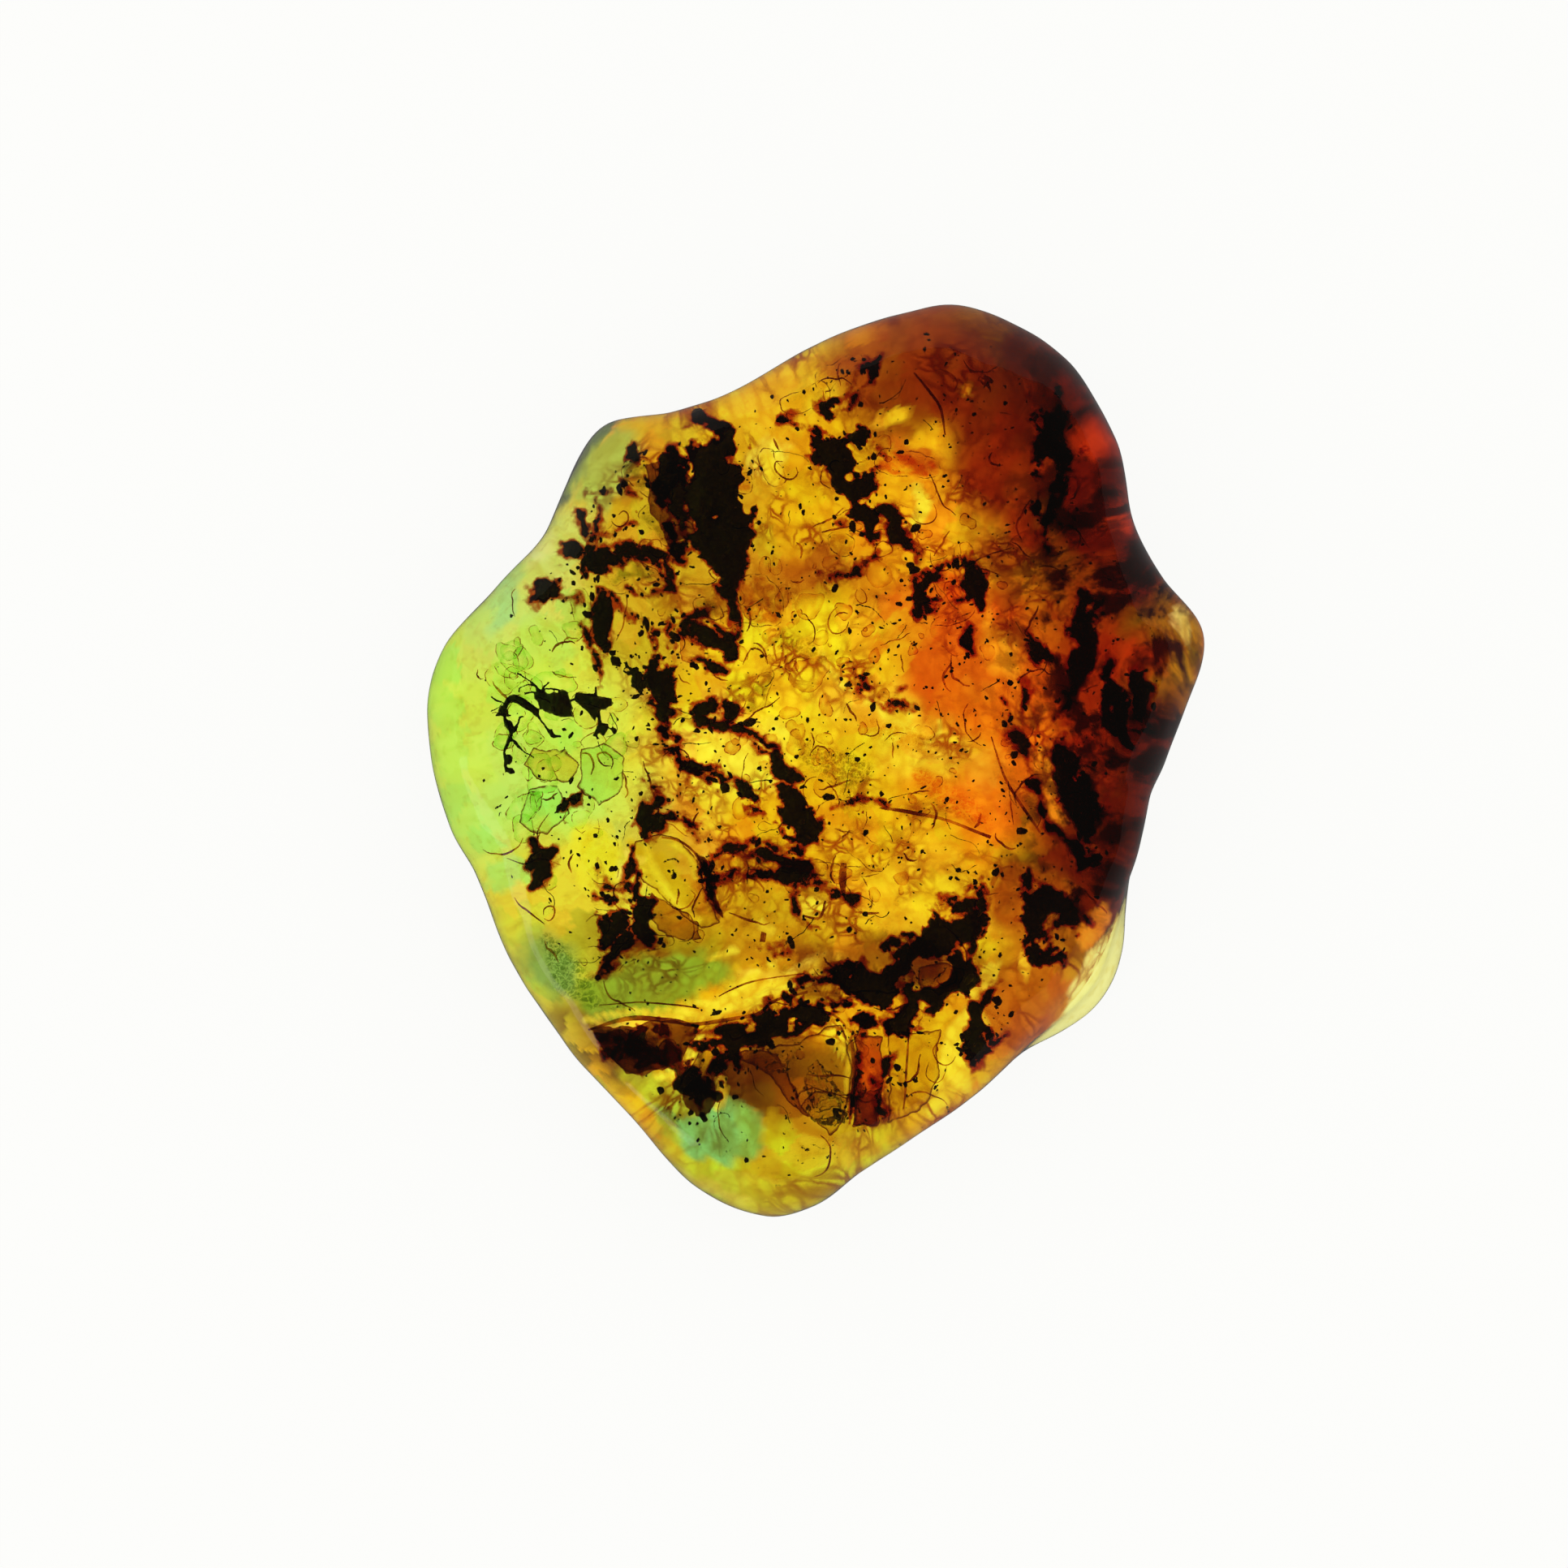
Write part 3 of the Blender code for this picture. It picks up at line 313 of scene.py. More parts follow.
# Limbs, feelers, claws and the tail: runs of (x, y, z, half width), z from the insect's level.
INSECT_LIMBS = {
    "waist": [(-14.9, 3.6, 0.0, 0.14), (-14.5, 3.75, 0.0, 0.07), (-14.1, 3.8, 0.0, 0.2)],
    "thigh": [
        (-16.4, 3.1, 0.0, 0.15), (-16.7, 3.1, 0.05, 0.22), (-17.02, 3.32, 0.1, 0.25),
        (-17.5, 3.57, 0.2, 0.27), (-17.95, 3.7, 0.15, 0.24), (-18.35, 3.55, 0.1, 0.17),
        (-18.6, 3.1, 0.0, 0.12),
    ],
    "claw": [(-18.67, 3.3, 0.0, 0.1), (-18.66, 2.95, -0.1, 0.3), (-18.7, 2.76, -0.1, 0.12)],
    "claw, left": [(-18.7, 2.9, -0.1, 0.2), (-19.0, 2.76, -0.15, 0.1), (-19.15, 2.7, -0.15, 0.03)],
    "claw, right": [(-18.6, 2.86, -0.1, 0.2), (-18.35, 2.76, -0.1, 0.08), (-18.15, 2.73, -0.1, 0.03)],
    "shin": [
        (-18.6, 2.8, -0.1, 0.08), (-18.55, 2.45, -0.15, 0.16), (-18.35, 2.2, -0.2, 0.27),
        (-18.2, 1.8, -0.25, 0.15), (-18.2, 1.4, -0.3, 0.13), (-18.42, 0.94, -0.3, 0.12),
        (-18.58, 0.5, -0.35, 0.1), (-18.5, -0.1, -0.35, 0.12), (-18.44, -0.64, -0.4, 0.06),
    ],
    "pad": [(-18.32, 0.42, -0.35, 0.12), (-18.26, 0.17, -0.35, 0.24), (-18.34, -0.2, -0.35, 0.14)],
    "toe": [(-18.4, -0.45, -0.4, 0.08), (-18.14, -0.58, -0.4, 0.18), (-17.95, -0.7, -0.4, 0.06)],
    "spur": [
        (-18.1, 1.75, -0.2, 0.1), (-17.95, 1.82, -0.15, 0.16), (-17.79, 2.21, -0.1, 0.07),
        (-17.65, 2.57, -0.05, 0.07), (-17.4, 2.72, 0.0, 0.06),
    ],
    "lower hair": [
        (-18.15, 1.3, -0.25, 0.07), (-17.84, 1.0, -0.25, 0.1), (-17.4, 0.61, -0.2, 0.055),
        (-16.8, 0.28, -0.2, 0.06),
    ],
    "second leg": [
        (-16.7, 3.0, 0.0, 0.2), (-16.45, 2.72, 0.05, 0.12), (-16.08, 2.15, 0.15, 0.07),
        (-15.84, 1.7, 0.2, 0.1), (-15.69, 1.5, 0.2, 0.13), (-15.26, 1.5, 0.15, 0.09),
    ],
    "second foot": [(-15.7, 1.52, 0.2, 0.11), (-15.79, 1.95, 0.2, 0.07)],
    "cut foot": [(-14.84, 1.34, 0.1, 0.05), (-14.7, 1.56, 0.1, 0.12), (-14.54, 1.8, 0.1, 0.06)],
    "long feeler": [
        (-16.4, 4.2, 0.2, 0.12), (-16.52, 4.6, 0.35, 0.07), (-17.07, 5.02, 0.5, 0.055),
        (-17.66, 5.34, 0.6, 0.1),
    ],
    "short feeler": [(-16.2, 4.3, 0.2, 0.06), (-16.1, 4.6, 0.35, 0.055), (-15.86, 4.86, 0.45, 0.05)],
    "palp": [(-16.4, 4.22, 0.1, 0.08), (-16.85, 4.18, 0.1, 0.06), (-17.24, 4.06, 0.05, 0.08)],
    "collar": [(-16.2, 4.42, 0.1, 0.05), (-15.7, 4.44, 0.15, 0.06), (-15.2, 4.4, 0.1, 0.06)],
    "side feeler": [(-18.6, 3.45, 0.1, 0.04), (-18.9, 3.52, 0.2, 0.055), (-19.36, 3.76, 0.3, 0.06)],
    "curved feeler": [
        (-16.6, 4.6, 0.3, 0.055), (-17.1, 4.62, 0.4, 0.05), (-17.5, 4.4, 0.4, 0.05), (-17.6, 4.1, 0.4, 0.05),
    ],
    "rear hook": [(-14.7, 3.1, 0.0, 0.1), (-14.56, 2.76, 0.0, 0.05), (-14.5, 2.68, 0.0, 0.03)],
    "peg": [(-13.05, 4.1, 0.0, 0.1), (-13.05, 4.5, 0.1, 0.09), (-13.04, 4.86, 0.15, 0.07)],
    "hind leg": [(-12.95, 3.2, 0.0, 0.16), (-12.88, 2.8, 0.05, 0.12), (-12.83, 2.2, 0.1, 0.13)],
    "hind foot": [(-12.5, 2.32, 0.1, 0.16), (-12.56, 2.05, 0.1, 0.27), (-12.68, 1.6, 0.1, 0.12)],
    "hind claw": [(-12.8, 2.15, 0.1, 0.16), (-13.02, 1.75, 0.1, 0.17), (-13.22, 1.54, 0.1, 0.1)],
    "drop": [(-12.96, 1.5, 0.1, 0.05), (-12.93, 1.28, 0.1, 0.13)],
    "tail stalk": [
        (-12.5, 2.1, 0.1, 0.07), (-12.2, 2.02, 0.1, 0.06), (-11.95, 1.88, 0.1, 0.19),
        (-11.93, 1.62, 0.1, 0.05),
    ],
    "tail hair": [(-12.0, 2.0, 0.1, 0.05), (-12.02, 2.54, 0.15, 0.03)],
}
LIMB_ROUND = 10
BODY_RINGS = 0.06       # how deep the rings round the body are, and how close together
RING_PITCH = 17
INSECT_VOXEL = 0.05
CHITIN_GRAIN = 0.05     # how uneven the insect's skin is
CHITIN_GRAIN_SIZE = 0.35

SPECK_COUNT = 1900
SPECK_SIZE = (0.062, 0.5, 0.20)     # the usual size, how widely it varies, and the largest
CLEAR_OF_SPECKS = -13   # left of this, only a share of the specks stays
CLEAR_SHARE = 0.35
CRUMBS_PER_STRAND = 8
CRUMB_SIZE = (0.11, 0.55, 0.34)
CRUMB_STRAY = 0.6       # how far crumbs lie from the edge of their strand
CRUMB_DEPTH = 0.5       # and above or below it
HAIR_COUNT = 80
HAIR_STEPS = 9
HAIR_LENGTH = (0.7, 2.4)    # the shortest and the longest
HAIR_WIDTH = (0.018, 0.04)

# How the resin's colour drifts across the nugget: x, y, reach in x, reach in y, turn, sharpness, colour.
RESIN_GOLD = (0.88, 0.55, 0.005)
SOFT_ZONES = {
    "lime left side": (-20.5, 0.0, 12.5, 17.0, 0, 0.6, (0.66, 0.88, 0.10)),
    "pale shoulder": (-17.5, 11.5, 6.0, 5.0, 0, 0.5, (0.66, 0.80, 0.22)),
    "mint patch": (-16.4, -2.4, 4.6, 4.2, 0, 0.4, (0.54, 0.88, 0.16)),
    "yellow under the mint": (-14.4, -8.4, 6.0, 4.6, 0, 0.5, (0.80, 0.70, 0.04)),
    "mustard by the log": (-7.4, 12.0, 5.5, 8.0, 0, 0.5, (0.66, 0.45, 0.014)),
    "yellow crown edge": (-2.0, 21.6, 4.6, 2.2, 24, 0.5, (0.90, 0.62, 0.02)),
    "brown neck": (4.6, 23.5, 5.0, 4.2, 0, 0.5, (0.42, 0.12, 0.003)),
    "red-brown head": (8.4, 21.0, 5.2, 5.2, 0, 0.4, (0.24, 0.028, 0.001)),
    "dark head": (13.5, 22.5, 5.4, 6.5, 0, 0.5, (0.07, 0.005, 0.0004)),
    "brown beside the log": (-0.6, 11.0, 3.8, 1.9, 0, 0.5, (0.52, 0.20, 0.004)),
    "red shoulder": (11.2, 14.8, 3.0, 6.4, 0, 0.4, (0.30, 0.024, 0.0008)),
    "dark red shoulder": (17.6, 15.0, 6.0, 11.0, 0, 0.5, (0.10, 0.0025, 0.0002)),
    "amber window": (6.6, 15.0, 3.2, 2.7, 0, 0.5, (1.0, 0.55, 0.008)),
    "orange middle": (5.6, 7.6, 4.0, 4.0, 0, 0.4, (0.85, 0.30, 0.006)),
    "red-orange side": (9.0, 4.6, 4.6, 5.5, 0, 0.5, (0.78, 0.15, 0.003)),
    "orange window": (9.8, -0.4, 3.8, 4.0, -20, 0.5, (1.0, 0.27, 0.004)),
    "yellow middle": (-1.0, 4.4, 6.0, 5.5, -25, 0.6, (1.0, 0.84, 0.014)),
    "bright streak": (4.2, 2.0, 4.8, 1.5, -24, 0.4, (1.0, 0.80, 0.03)),
    "bright middle": (-5.9, 0.0, 4.0, 2.9, 0, 0.5, (1.0, 0.90, 0.05)),
    "red right side": (15.0, 2.0, 3.6, 9.0, 0, 0.5, (0.32, 0.018, 0.0005)),
    "dark right rim": (19.8, -3.0, 4.6, 10.0, 0, 0.5, (0.09, 0.004, 0.0003)),
    "dark lower right": (15.5, -7.5, 4.2, 5.0, 0, 0.5, (0.12, 0.007, 0.0003)),
    "yellow lower middle": (5.0, -7.0, 5.5, 3.4, -10, 0.5, (0.95, 0.70, 0.014)),
    "brown on the lower right": (11.6, -7.6, 2.8, 2.4, 0, 0.5, (0.36, 0.07, 0.001)),
    "olive hollow": (-3.0, -9.0, 6.0, 3.0, 0, 0.4, (0.62, 0.40, 0.006)),
    "olive on the lower left": (-9.8, -11.6, 4.6, 2.2, 0, 0.5, (0.32, 0.24, 0.004)),
    "brown over the slab": (1.8, -11.6, 2.4, 1.5, 20, 0.5, (0.30, 0.10, 0.002)),
    "dark round the slab": (5.8, -11.8, 2.8, 1.9, 30, 0.5, (0.16, 0.04, 0.001)),
    "orange lower right": (12.0, -14.0, 4.0, 5.0, 0, 0.5, (0.56, 0.15, 0.004)),
    "brown round the chip": (-0.4, -19.0, 3.8, 3.4, 0, 0.6, (0.34, 0.14, 0.002)),
    "dark brown under the ledge": (-4.9, -18.3, 3.9, 2.4, -15, 0.6, (0.11, 0.035, 0.001)),
    "brown by the lower left rim": (-11.8, -16.0, 3.8, 2.0, -45, 0.5, (0.18, 0.08, 0.012)),
    "olive tip": (-2.4, -24.4, 7.6, 3.0, 12, 0.5, (0.66, 0.66, 0.014)),
}
# Lobes of other resin with clear borders: as above, laid over the zones. The pale ones at the tongue's root,
# the pane's edge, the chip by the slab and the right knuckle are painted highlights, and the pale lobe low on
# the right carries painted backlight.
CRISP_LOBES = {
    "grey-blue lobe": (-14.0, 17.8, 1.5, 4.2, -28, 0.8, (0.10, 0.15, 0.15)),
    "orange vein of the grey lobe": (-12.9, 17.4, 0.25, 2.6, -22, 0.6, (0.85, 0.42, 0.12)),
    "mint under the grey lobe": (-12.2, 16.6, 1.7, 2.6, -20, 0.7, (0.42, 0.60, 0.14)),
    "teal vein": (-18.2, 9.6, 0.8, 2.2, -25, 0.5, (0.38, 0.72, 0.36)),
    "whitish shoulder": (-16.0, 12.5, 1.3, 1.0, 30, 0.4, (0.80, 0.90, 0.48)),
    "round lime lens": (-15.6, 6.9, 1.8, 1.7, 0, 0.75, (0.52, 0.80, 0.12)),
    "lime lens low on the left": (-17.7, -6.6, 1.3, 0.9, -20, 0.8, (0.42, 0.80, 0.16)),
    "yellow lens on the left": (-12.7, -5.4, 1.6, 1.8, 0, 0.75, (0.84, 0.80, 0.03)),
    "sea-green froth": (-15.4, -12.0, 1.5, 2.4, 35, 0.5, (0.22, 0.40, 0.10)),
    "green fold": (-9.2, -12.9, 4.9, 1.55, 8, 0.8, (0.26, 0.44, 0.035)),
    "glaring capsule": (-2.8, 17.4, 0.9, 1.1, 0, 0.6, (1.0, 0.95, 0.12)),
    "glowing slit": (-7.2, 15.2, 0.36, 2.0, 0, 0.5, (0.95, 0.50, 0.01)),
    "gold ribbon, left": (-9.4, -14.75, 3.8, 0.42, 1, 0.6, (1.0, 0.80, 0.06)),
    "gold ribbon, right": (-2.4, -13.3, 4.0, 0.62, 22, 0.6, (1.0, 0.84, 0.05)),
    "gold ribbon, upper fold": (-2.0, -12.1, 2.6, 0.34, 12, 0.5, (1.0, 0.88, 0.10)),
    "tongue of clear resin": (-8.5, -7.1, 3.0, 1.1, -52, 0.85, (0.74, 0.56, 0.012)),
    # painted highlight at the root of the tongue
    "painted highlight at the tongue's root": (-10.6, -5.9, 0.8, 0.35, 20, 0.5, (1.0, 0.90, 0.15)),
    "yellow sliver": (-8.2, -17.0, 0.34, 1.2, -30, 0.6, (0.85, 0.90, 0.08)),
    "yellow-green toe": (-8.0, -20.3, 4.6, 1.7, -42, 0.75, (0.50, 0.58, 0.03)),
    "mint toe": (-5.6, -21.6, 2.3, 2.0, -25, 0.85, (0.22, 0.52, 0.16)),
    "mint fleck of the toe": (-8.6, -20.6, 1.2, 0.5, -35, 0.7, (0.30, 0.54, 0.10)),
    "yellow toe edge": (-6.2, -25.0, 2.6, 0.5, -24, 0.5, (0.80, 0.62, 0.05)),
    "yellow pane": (6.6, -17.8, 2.2, 3.6, -8, 0.85, (0.80, 0.52, 0.008)),
    # painted highlight on the edge of the pane
    "painted highlight on the pane's edge": (8.2, -17.2, 0.8, 2.9, -16, 0.7, (1.0, 0.96, 0.06)),
    "orange glow between the slivers": (3.3, -18.0, 0.7, 2.0, 0, 0.6, (0.90, 0.34, 0.01)),
    # painted highlight on the chip by the slab
    "painted highlight on the chip by the slab": (9.2, -12.8, 1.2, 0.6, 35, 0.7, (1.0, 0.88, 0.06)),
    "yellow chip on the right": (12.5, -12.2, 0.5, 0.9, 0, 0.7, (1.0, 0.62, 0.03)),
    "orange lens low on the right": (16.4, -9.4, 0.7, 1.5, -15, 0.7, (0.80, 0.26, 0.01)),
    "orange splinter on the right": (13.2, -1.2, 0.55, 2.1, 10, 0.7, (1.0, 0.36, 0.012)),
    "orange streak": (10.6, 6.6, 0.8, 2.2, 8, 0.5, (1.0, 0.40, 0.012)),
    "first red glow": (17.4, 14.8, 1.4, 1.0, 0, 0.3, (0.62, 0.030, 0.002)),
    "second red glow": (16.3, 18.8, 1.3, 1.1, 0, 0.3, (0.60, 0.030, 0.002)),
    "third red glow": (18.6, 6.2, 1.5, 1.4, 0, 0.3, (0.50, 0.035, 0.002)),
    "red pool over the window": (5.4, 17.7, 2.0, 0.8, -5, 0.6, (0.56, 0.11, 0.003)),
    "yellow facets over the red pool": (4.0, 19.6, 1.2, 0.5, 5, 0.7, (1.0, 0.72, 0.02)),
    "yellow bead at the head": (8.5, 20.9, 0.5, 0.5, 0, 0.7, (1.0, 0.70, 0.02)),
    "olive glow on the right knuckle": (22.0, 6.2, 0.6, 1.8, 0, 0.4, (0.12, 0.05, 0.002)),
    # painted highlight on the right knuckle
    "painted highlight on the right knuckle": (21.5, 8.3, 0.75, 1.0, -20, 0.8, (1.0, 1.0, 0.6)),
    # yellow resin, paled further to paint the strong light from behind the lobe
    "lobe low on the right, pale with painted backlight": (22.0, -13.9, 12.0, 6.2, 57.6, 0.95, (1.0, 1.0, 0.50)),
}
# The same for lobes that stand out below the rim.
BELLY_LOBES = {
    # yellow resin, paled further to paint the strong light from behind the lobe
    "lobe low on the right, pale with painted backlight": (22.0, -13.9, 12.0, 10.5, 57.6, 0.9, (1.0, 0.97, 0.36)),
    # painted highlight on the right knuckle
    "painted highlight on the right knuckle": (20.8, 8.2, 2.3, 1.7, -20, 0.8, (1.0, 1.0, 0.6)),
    "grey lobe at the upper left": (-15.6, 17.6, 3.0, 4.6, -28, 0.6, (0.62, 0.72, 0.62)),
    "yellow sliver": (-8.0, -17.4, 0.9, 1.9, -35, 0.7, (1.0, 1.0, 0.25)),
    "mint toe": (-5.8, -21.4, 3.0, 2.4, -25, 0.8, (0.60, 0.92, 0.55)),
}
WIDEST_SHARE = 0.94     # how far out to the rim sealed things may reach
SKIN_COVER = 0.3        # and how far below the crown they stay
CROWN_DEPTH = 1.6       # the share of the colour, out of 2, that the crown's skin carries
# the colour of the painted highlights on the crown's folds
PAINTED_HIGHLIGHT_COLOUR = (1.0, 0.94, 0.012)
PATCH_SIZE = 1.7        # rounded patches in which the zones are seen a step aside
PATCH_TINT = 0.30       # how much less red or green a patch may be
CROWN_PATCH = 1.4       # the step's size on the crown
BELLY_PATCH = 3.6       # and on the belly
ZONE_DRIFT = (1.2, 4.5, 3)  # how far the borders wander: reach, size and octaves
LOBE_DRIFT = (0.45, 1.2, 3)
LOBE_SWAY = (0.6, 3.4, 1)
PATCH_DRIFT = (0.35, 0.8, 3)
ZONE_FADE = 0.7         # how far a zone without any sharpness fades outward
PATCH_STRAY = 0.85      # how far the patches' middles stray from an even net
GLOW_RAGGED = 0.12      # how ragged the glows' borders are
GLOW_RAGGED_SIZE = 0.8
LIME_SIDE = (-9.0, -13.0)   # where the lime side begins, and where it is full
GOLD_LESS_RED = 0.35    # how much of the patches' loss of red is left outside the lime side
LIME_LESS_GREEN = 0.3   # and of their loss of green on it
GLOW_OUTSIDE = 0.14     # how far the glows reach beyond their outlines
GLOW_FADE = 0.26        # and over what width they fade
BLEND_BELOW = 0.3       # the crown's colour begins this far below the parting plane
BLEND_HEIGHT = 0.5      # and is full this far above that

# Lenses of resin with stained rims, lying at a height: height, colour, and strands.
RESIN_LENSES = {
    "brown disc by the log": (6.0, (0.66, 0.32, 0.08), [[(-3.7, 10.0, 1.2), (-3.2, 9.4, 1.2)]]),
    "disc at the top of the log": (7.4, (0.75, 0.38, 0.15), [[(-4.5, 16.5, 0.55), (-4.3, 16.2, 0.5)]]),
    "small brown disc": (7.2, (0.62, 0.36, 0.12), [[(1.3, 12.9, 0.7), (1.5, 12.8, 0.7)]]),
    "red disc": (6.4, (0.80, 0.28, 0.10), [[(4.4, 18.0, 0.8), (6.6, 17.6, 0.8)]]),
    "orange lump between the hooks": (7.2, (1.0, 0.62, 0.25), [[(7.7, 10.8, 0.7), (8.1, 10.1, 0.7)]]),
    "capsule": (7.0, (1.0, 0.96, 0.70), [[(-3.0, 17.9, 0.6), (-2.6, 16.9, 0.65)]]),
    "first round cell": (5.0, (1.0, 0.95, 0.60), [[(1.0, -3.0, 0.8), (2.3, -3.3, 0.9)]]),
    "second round cell": (5.2, (1.0, 0.97, 0.62), [[(2.3, -4.8, 0.8), (3.6, -5.6, 0.9)]]),
    "third round cell": (5.0, (1.0, 0.90, 0.55), [[(2.4, -7.2, 0.6), (2.8, -8.2, 0.6)]]),
    "oval bubble": (8.6, (1.0, 0.97, 0.80), [[(-3.0, -3.8, 0.28), (-2.4, -4.0, 0.28)]]),
    "lobe at the top edge": (7.4, (0.95, 0.80, 0.50), [[(0.6, 22.6, 0.7), (2.4, 23.8, 0.5)]]),
    "yellow lobe under it": (6.6, (1.0, 0.92, 0.55), [[(-1.4, 21.2, 0.6), (0.4, 22.0, 0.6)]]),
    "smoke left of the log": (7.2, (0.50, 0.46, 0.28), [[(-9.4, 14.6, 0.8), (-8.0, 13.6, 1.0)]]),
    "green smoke over the log": (7.4, (0.42, 0.44, 0.26), [[(-10.6, 17.4, 0.9), (-9.0, 16.0, 0.7)]]),
    "green curl in the arch": (
        7.6, (0.50, 0.60, 0.30), [[(-11.8, 10.6, 0.4), (-10.8, 11.4, 0.6), (-9.6, 11.0, 0.4)]],
    ),
    # painted shadow of the abdomen
    "grey abdomen shadow": (6.4, (0.60, 0.68, 0.45), [[(-14.2, 3.9, 0.35), (-12.6, 3.6, 0.4)]]),
    "olive scrap": (7.6, (0.52, 0.48, 0.22), [[(-3.0, 4.9, 0.5), (-3.6, 3.6, 0.6), (-4.2, 3.1, 0.3)]]),
    "olive scrap beside the log": (6.6, (0.48, 0.48, 0.24), [[(-6.8, 9.4, 0.5), (-6.0, 9.0, 0.4)]]),
    "amber strand of the lower strip": (
        8.0, (0.75, 0.52, 0.22), [[(-5.6, -5.9, 0.5), (-2.6, -5.8, 0.7), (0.4, -6.3, 0.4)]],
    ),
    "brown film of the lower strip": (
        7.6, (0.62, 0.34, 0.12), [[(-1.6, -6.4, 0.5), (1.6, -6.6, 0.5), (4.0, -6.4, 0.2)]],
    ),
    "lens on the lower left": (6.6, (0.95, 0.92, 0.55), [[(-12.8, -5.0, 1.2), (-12.6, -5.8, 1.1)]]),
    "brown flow by the left clump": (
        6.8, (0.58, 0.22, 0.06), [[(-12.0, -12.0, 0.5), (-10.4, -10.8, 0.6), (-8.8, -10.6, 0.4)]],
    ),
    "dark glass low on the left": (6.0, (0.34, 0.22, 0.12), [[(-11.4, -16.6, 0.9), (-9.4, -16.8, 0.8)]]),
}
# Plates of other resin with edges like broken glass, as above but with the corners of their outlines. The
# shade beside the tongue is painted shade, and the wedge chip's three plates paint the light and shade of its
# facets.
RESIN_PLATES = {
    "tongue": (8.4, (0.86, 0.80, 0.42), [
        (-11.1, -5.5), (-10.7, -4.6), (-9.4, -4.3), (-8.4, -4.6), (-7.4, -5.4), (-6.9, -6.1), (-6.5, -7.4),
        (-6.0, -8.6), (-5.7, -9.5), (-6.7, -9.9), (-7.4, -9.4), (-8.5, -8.4), (-9.5, -7.4), (-10.2, -6.9),
    ]),
    # painted shade: a dark plate beside the tongue's fold
    "shade beside the tongue": (8.6, (0.06, 0.02, 0.006), [
        (-7.4, -5.2), (-6.6, -5.6), (-6.1, -6.6), (-5.6, -8.2), (-5.3, -9.4), (-5.9, -8.9), (-6.4, -7.6),
        (-6.8, -6.3),
    ]),
    "brown under the tongue": (7.6, (0.62, 0.36, 0.12), [
        (-9.7, -7.4), (-8.0, -8.6), (-7.0, -9.6), (-6.6, -10.6), (-8.0, -10.6), (-9.3, -10.0), (-9.8, -8.8),
    ]),
    # painted shade on the wedge chip's dark side
    "wedge chip, shaded side": (7.9, (0.62, 0.40, 0.12), [
        (-5.2, -17.2), (-3.1, -17.0), (-2.2, -17.6), (-1.4, -18.6), (-1.0, -19.9), (-0.4, -20.8),
        (-1.4, -20.0), (-2.6, -18.5), (-3.9, -17.7),
    ]),
    # painted light on the wedge chip's upper facet
    "wedge chip, lit upper facet": (8.0, (1.0, 0.94, 0.62), [
        (-3.1, -17.0), (-0.9, -16.7), (0.7, -15.5), (1.5, -15.4), (1.8, -16.2), (2.0, -18.1), (1.9, -19.7),
        (-0.1, -19.4), (-1.0, -19.9), (-1.6, -18.4),
    ]),
    # painted light, weaker, on the wedge chip's lower facet
    "wedge chip, half-lit lower facet": (8.1, (0.80, 0.66, 0.30), [
        (-0.9, -20.3), (-0.1, -19.4), (1.9, -19.7), (1.4, -21.3), (0.7, -21.9), (-0.4, -20.9),
    ]),
    "round disc": (6.9, (0.16, 0.06, 0.02), [
        (-7.9, -19.3), (-7.4, -18.6), (-6.5, -18.4), (-6.1, -18.9), (-5.95, -19.7), (-6.2, -20.6),
        (-6.8, -21.1), (-7.6, -20.7), (-8.0, -20.0),
    ]),
    "brown column": (7.4, (0.70, 0.24, 0.05), [
        (2.3, -16.0), (3.9, -16.2), (4.0, -18.6), (3.7, -21.6), (2.2, -21.5), (2.2, -18.6),
    ]),
    "dark foot of the column": (7.8, (0.40, 0.16, 0.05), [
        (2.3, -19.6), (3.8, -19.4), (3.7, -21.6), (2.2, -21.5),
    ]),
    "left pane": (7.6, (0.80, 0.68, 0.20), [
        (4.3, -15.9), (6.0, -16.0), (7.4, -15.9), (7.2, -18.5), (6.2, -20.6), (4.2, -21.4), (4.4, -18.0),
    ]),
    "window in the slab": (7.2, (0.55, 0.30, 0.10), [
        (6.0, -12.0), (7.4, -11.7), (8.8, -12.1), (8.6, -13.2), (7.2, -13.7), (6.1, -13.2),
    ]),
    "smoke in the left of the band": (6.6, (0.26, 0.11, 0.04), [
        (-13.2, -15.7), (-11.0, -15.5), (-8.6, -15.2), (-6.9, -15.4), (-7.3, -16.5), (-8.0, -17.4),
        (-9.2, -18.1), (-11.2, -18.4), (-12.4, -17.2),
    ]),
    "maroon fold": (7.2, (0.42, 0.16, 0.12), [
        (-13.0, -16.0), (-11.6, -15.8), (-9.8, -16.8), (-9.0, -17.8), (-10.2, -18.6), (-11.4, -18.2),
        (-12.4, -17.1),
    ]),
    "yellow smudge under the insect": (6.0, (0.96, 0.74, 0.40), [
        (-16.8, 0.8), (-15.0, 0.6), (-14.2, -0.4), (-14.6, -1.3), (-16.6, -1.1), (-17.4, -0.2),
    ]),
    "mint facet": (6.4, (0.70, 0.95, 0.75), [
        (-14.0, 0.6), (-12.6, 1.0), (-11.2, 0.2), (-11.4, -1.8), (-12.8, -2.8), (-14.2, -1.6),
    ]),
    "second mint facet": (6.2, (0.74, 0.96, 0.80), [
        (-16.9, -1.7), (-15.2, -1.4), (-14.6, -3.0), (-15.8, -4.4), (-17.6, -3.6),
    ]),
    "dark side of the log": (6.6, (0.30, 0.14, 0.05), [
        (-9.8, 17.6), (-8.2, 18.0), (-7.0, 16.0), (-7.2, 13.4), (-8.4, 12.8), (-9.4, 14.6),
    ]),
}
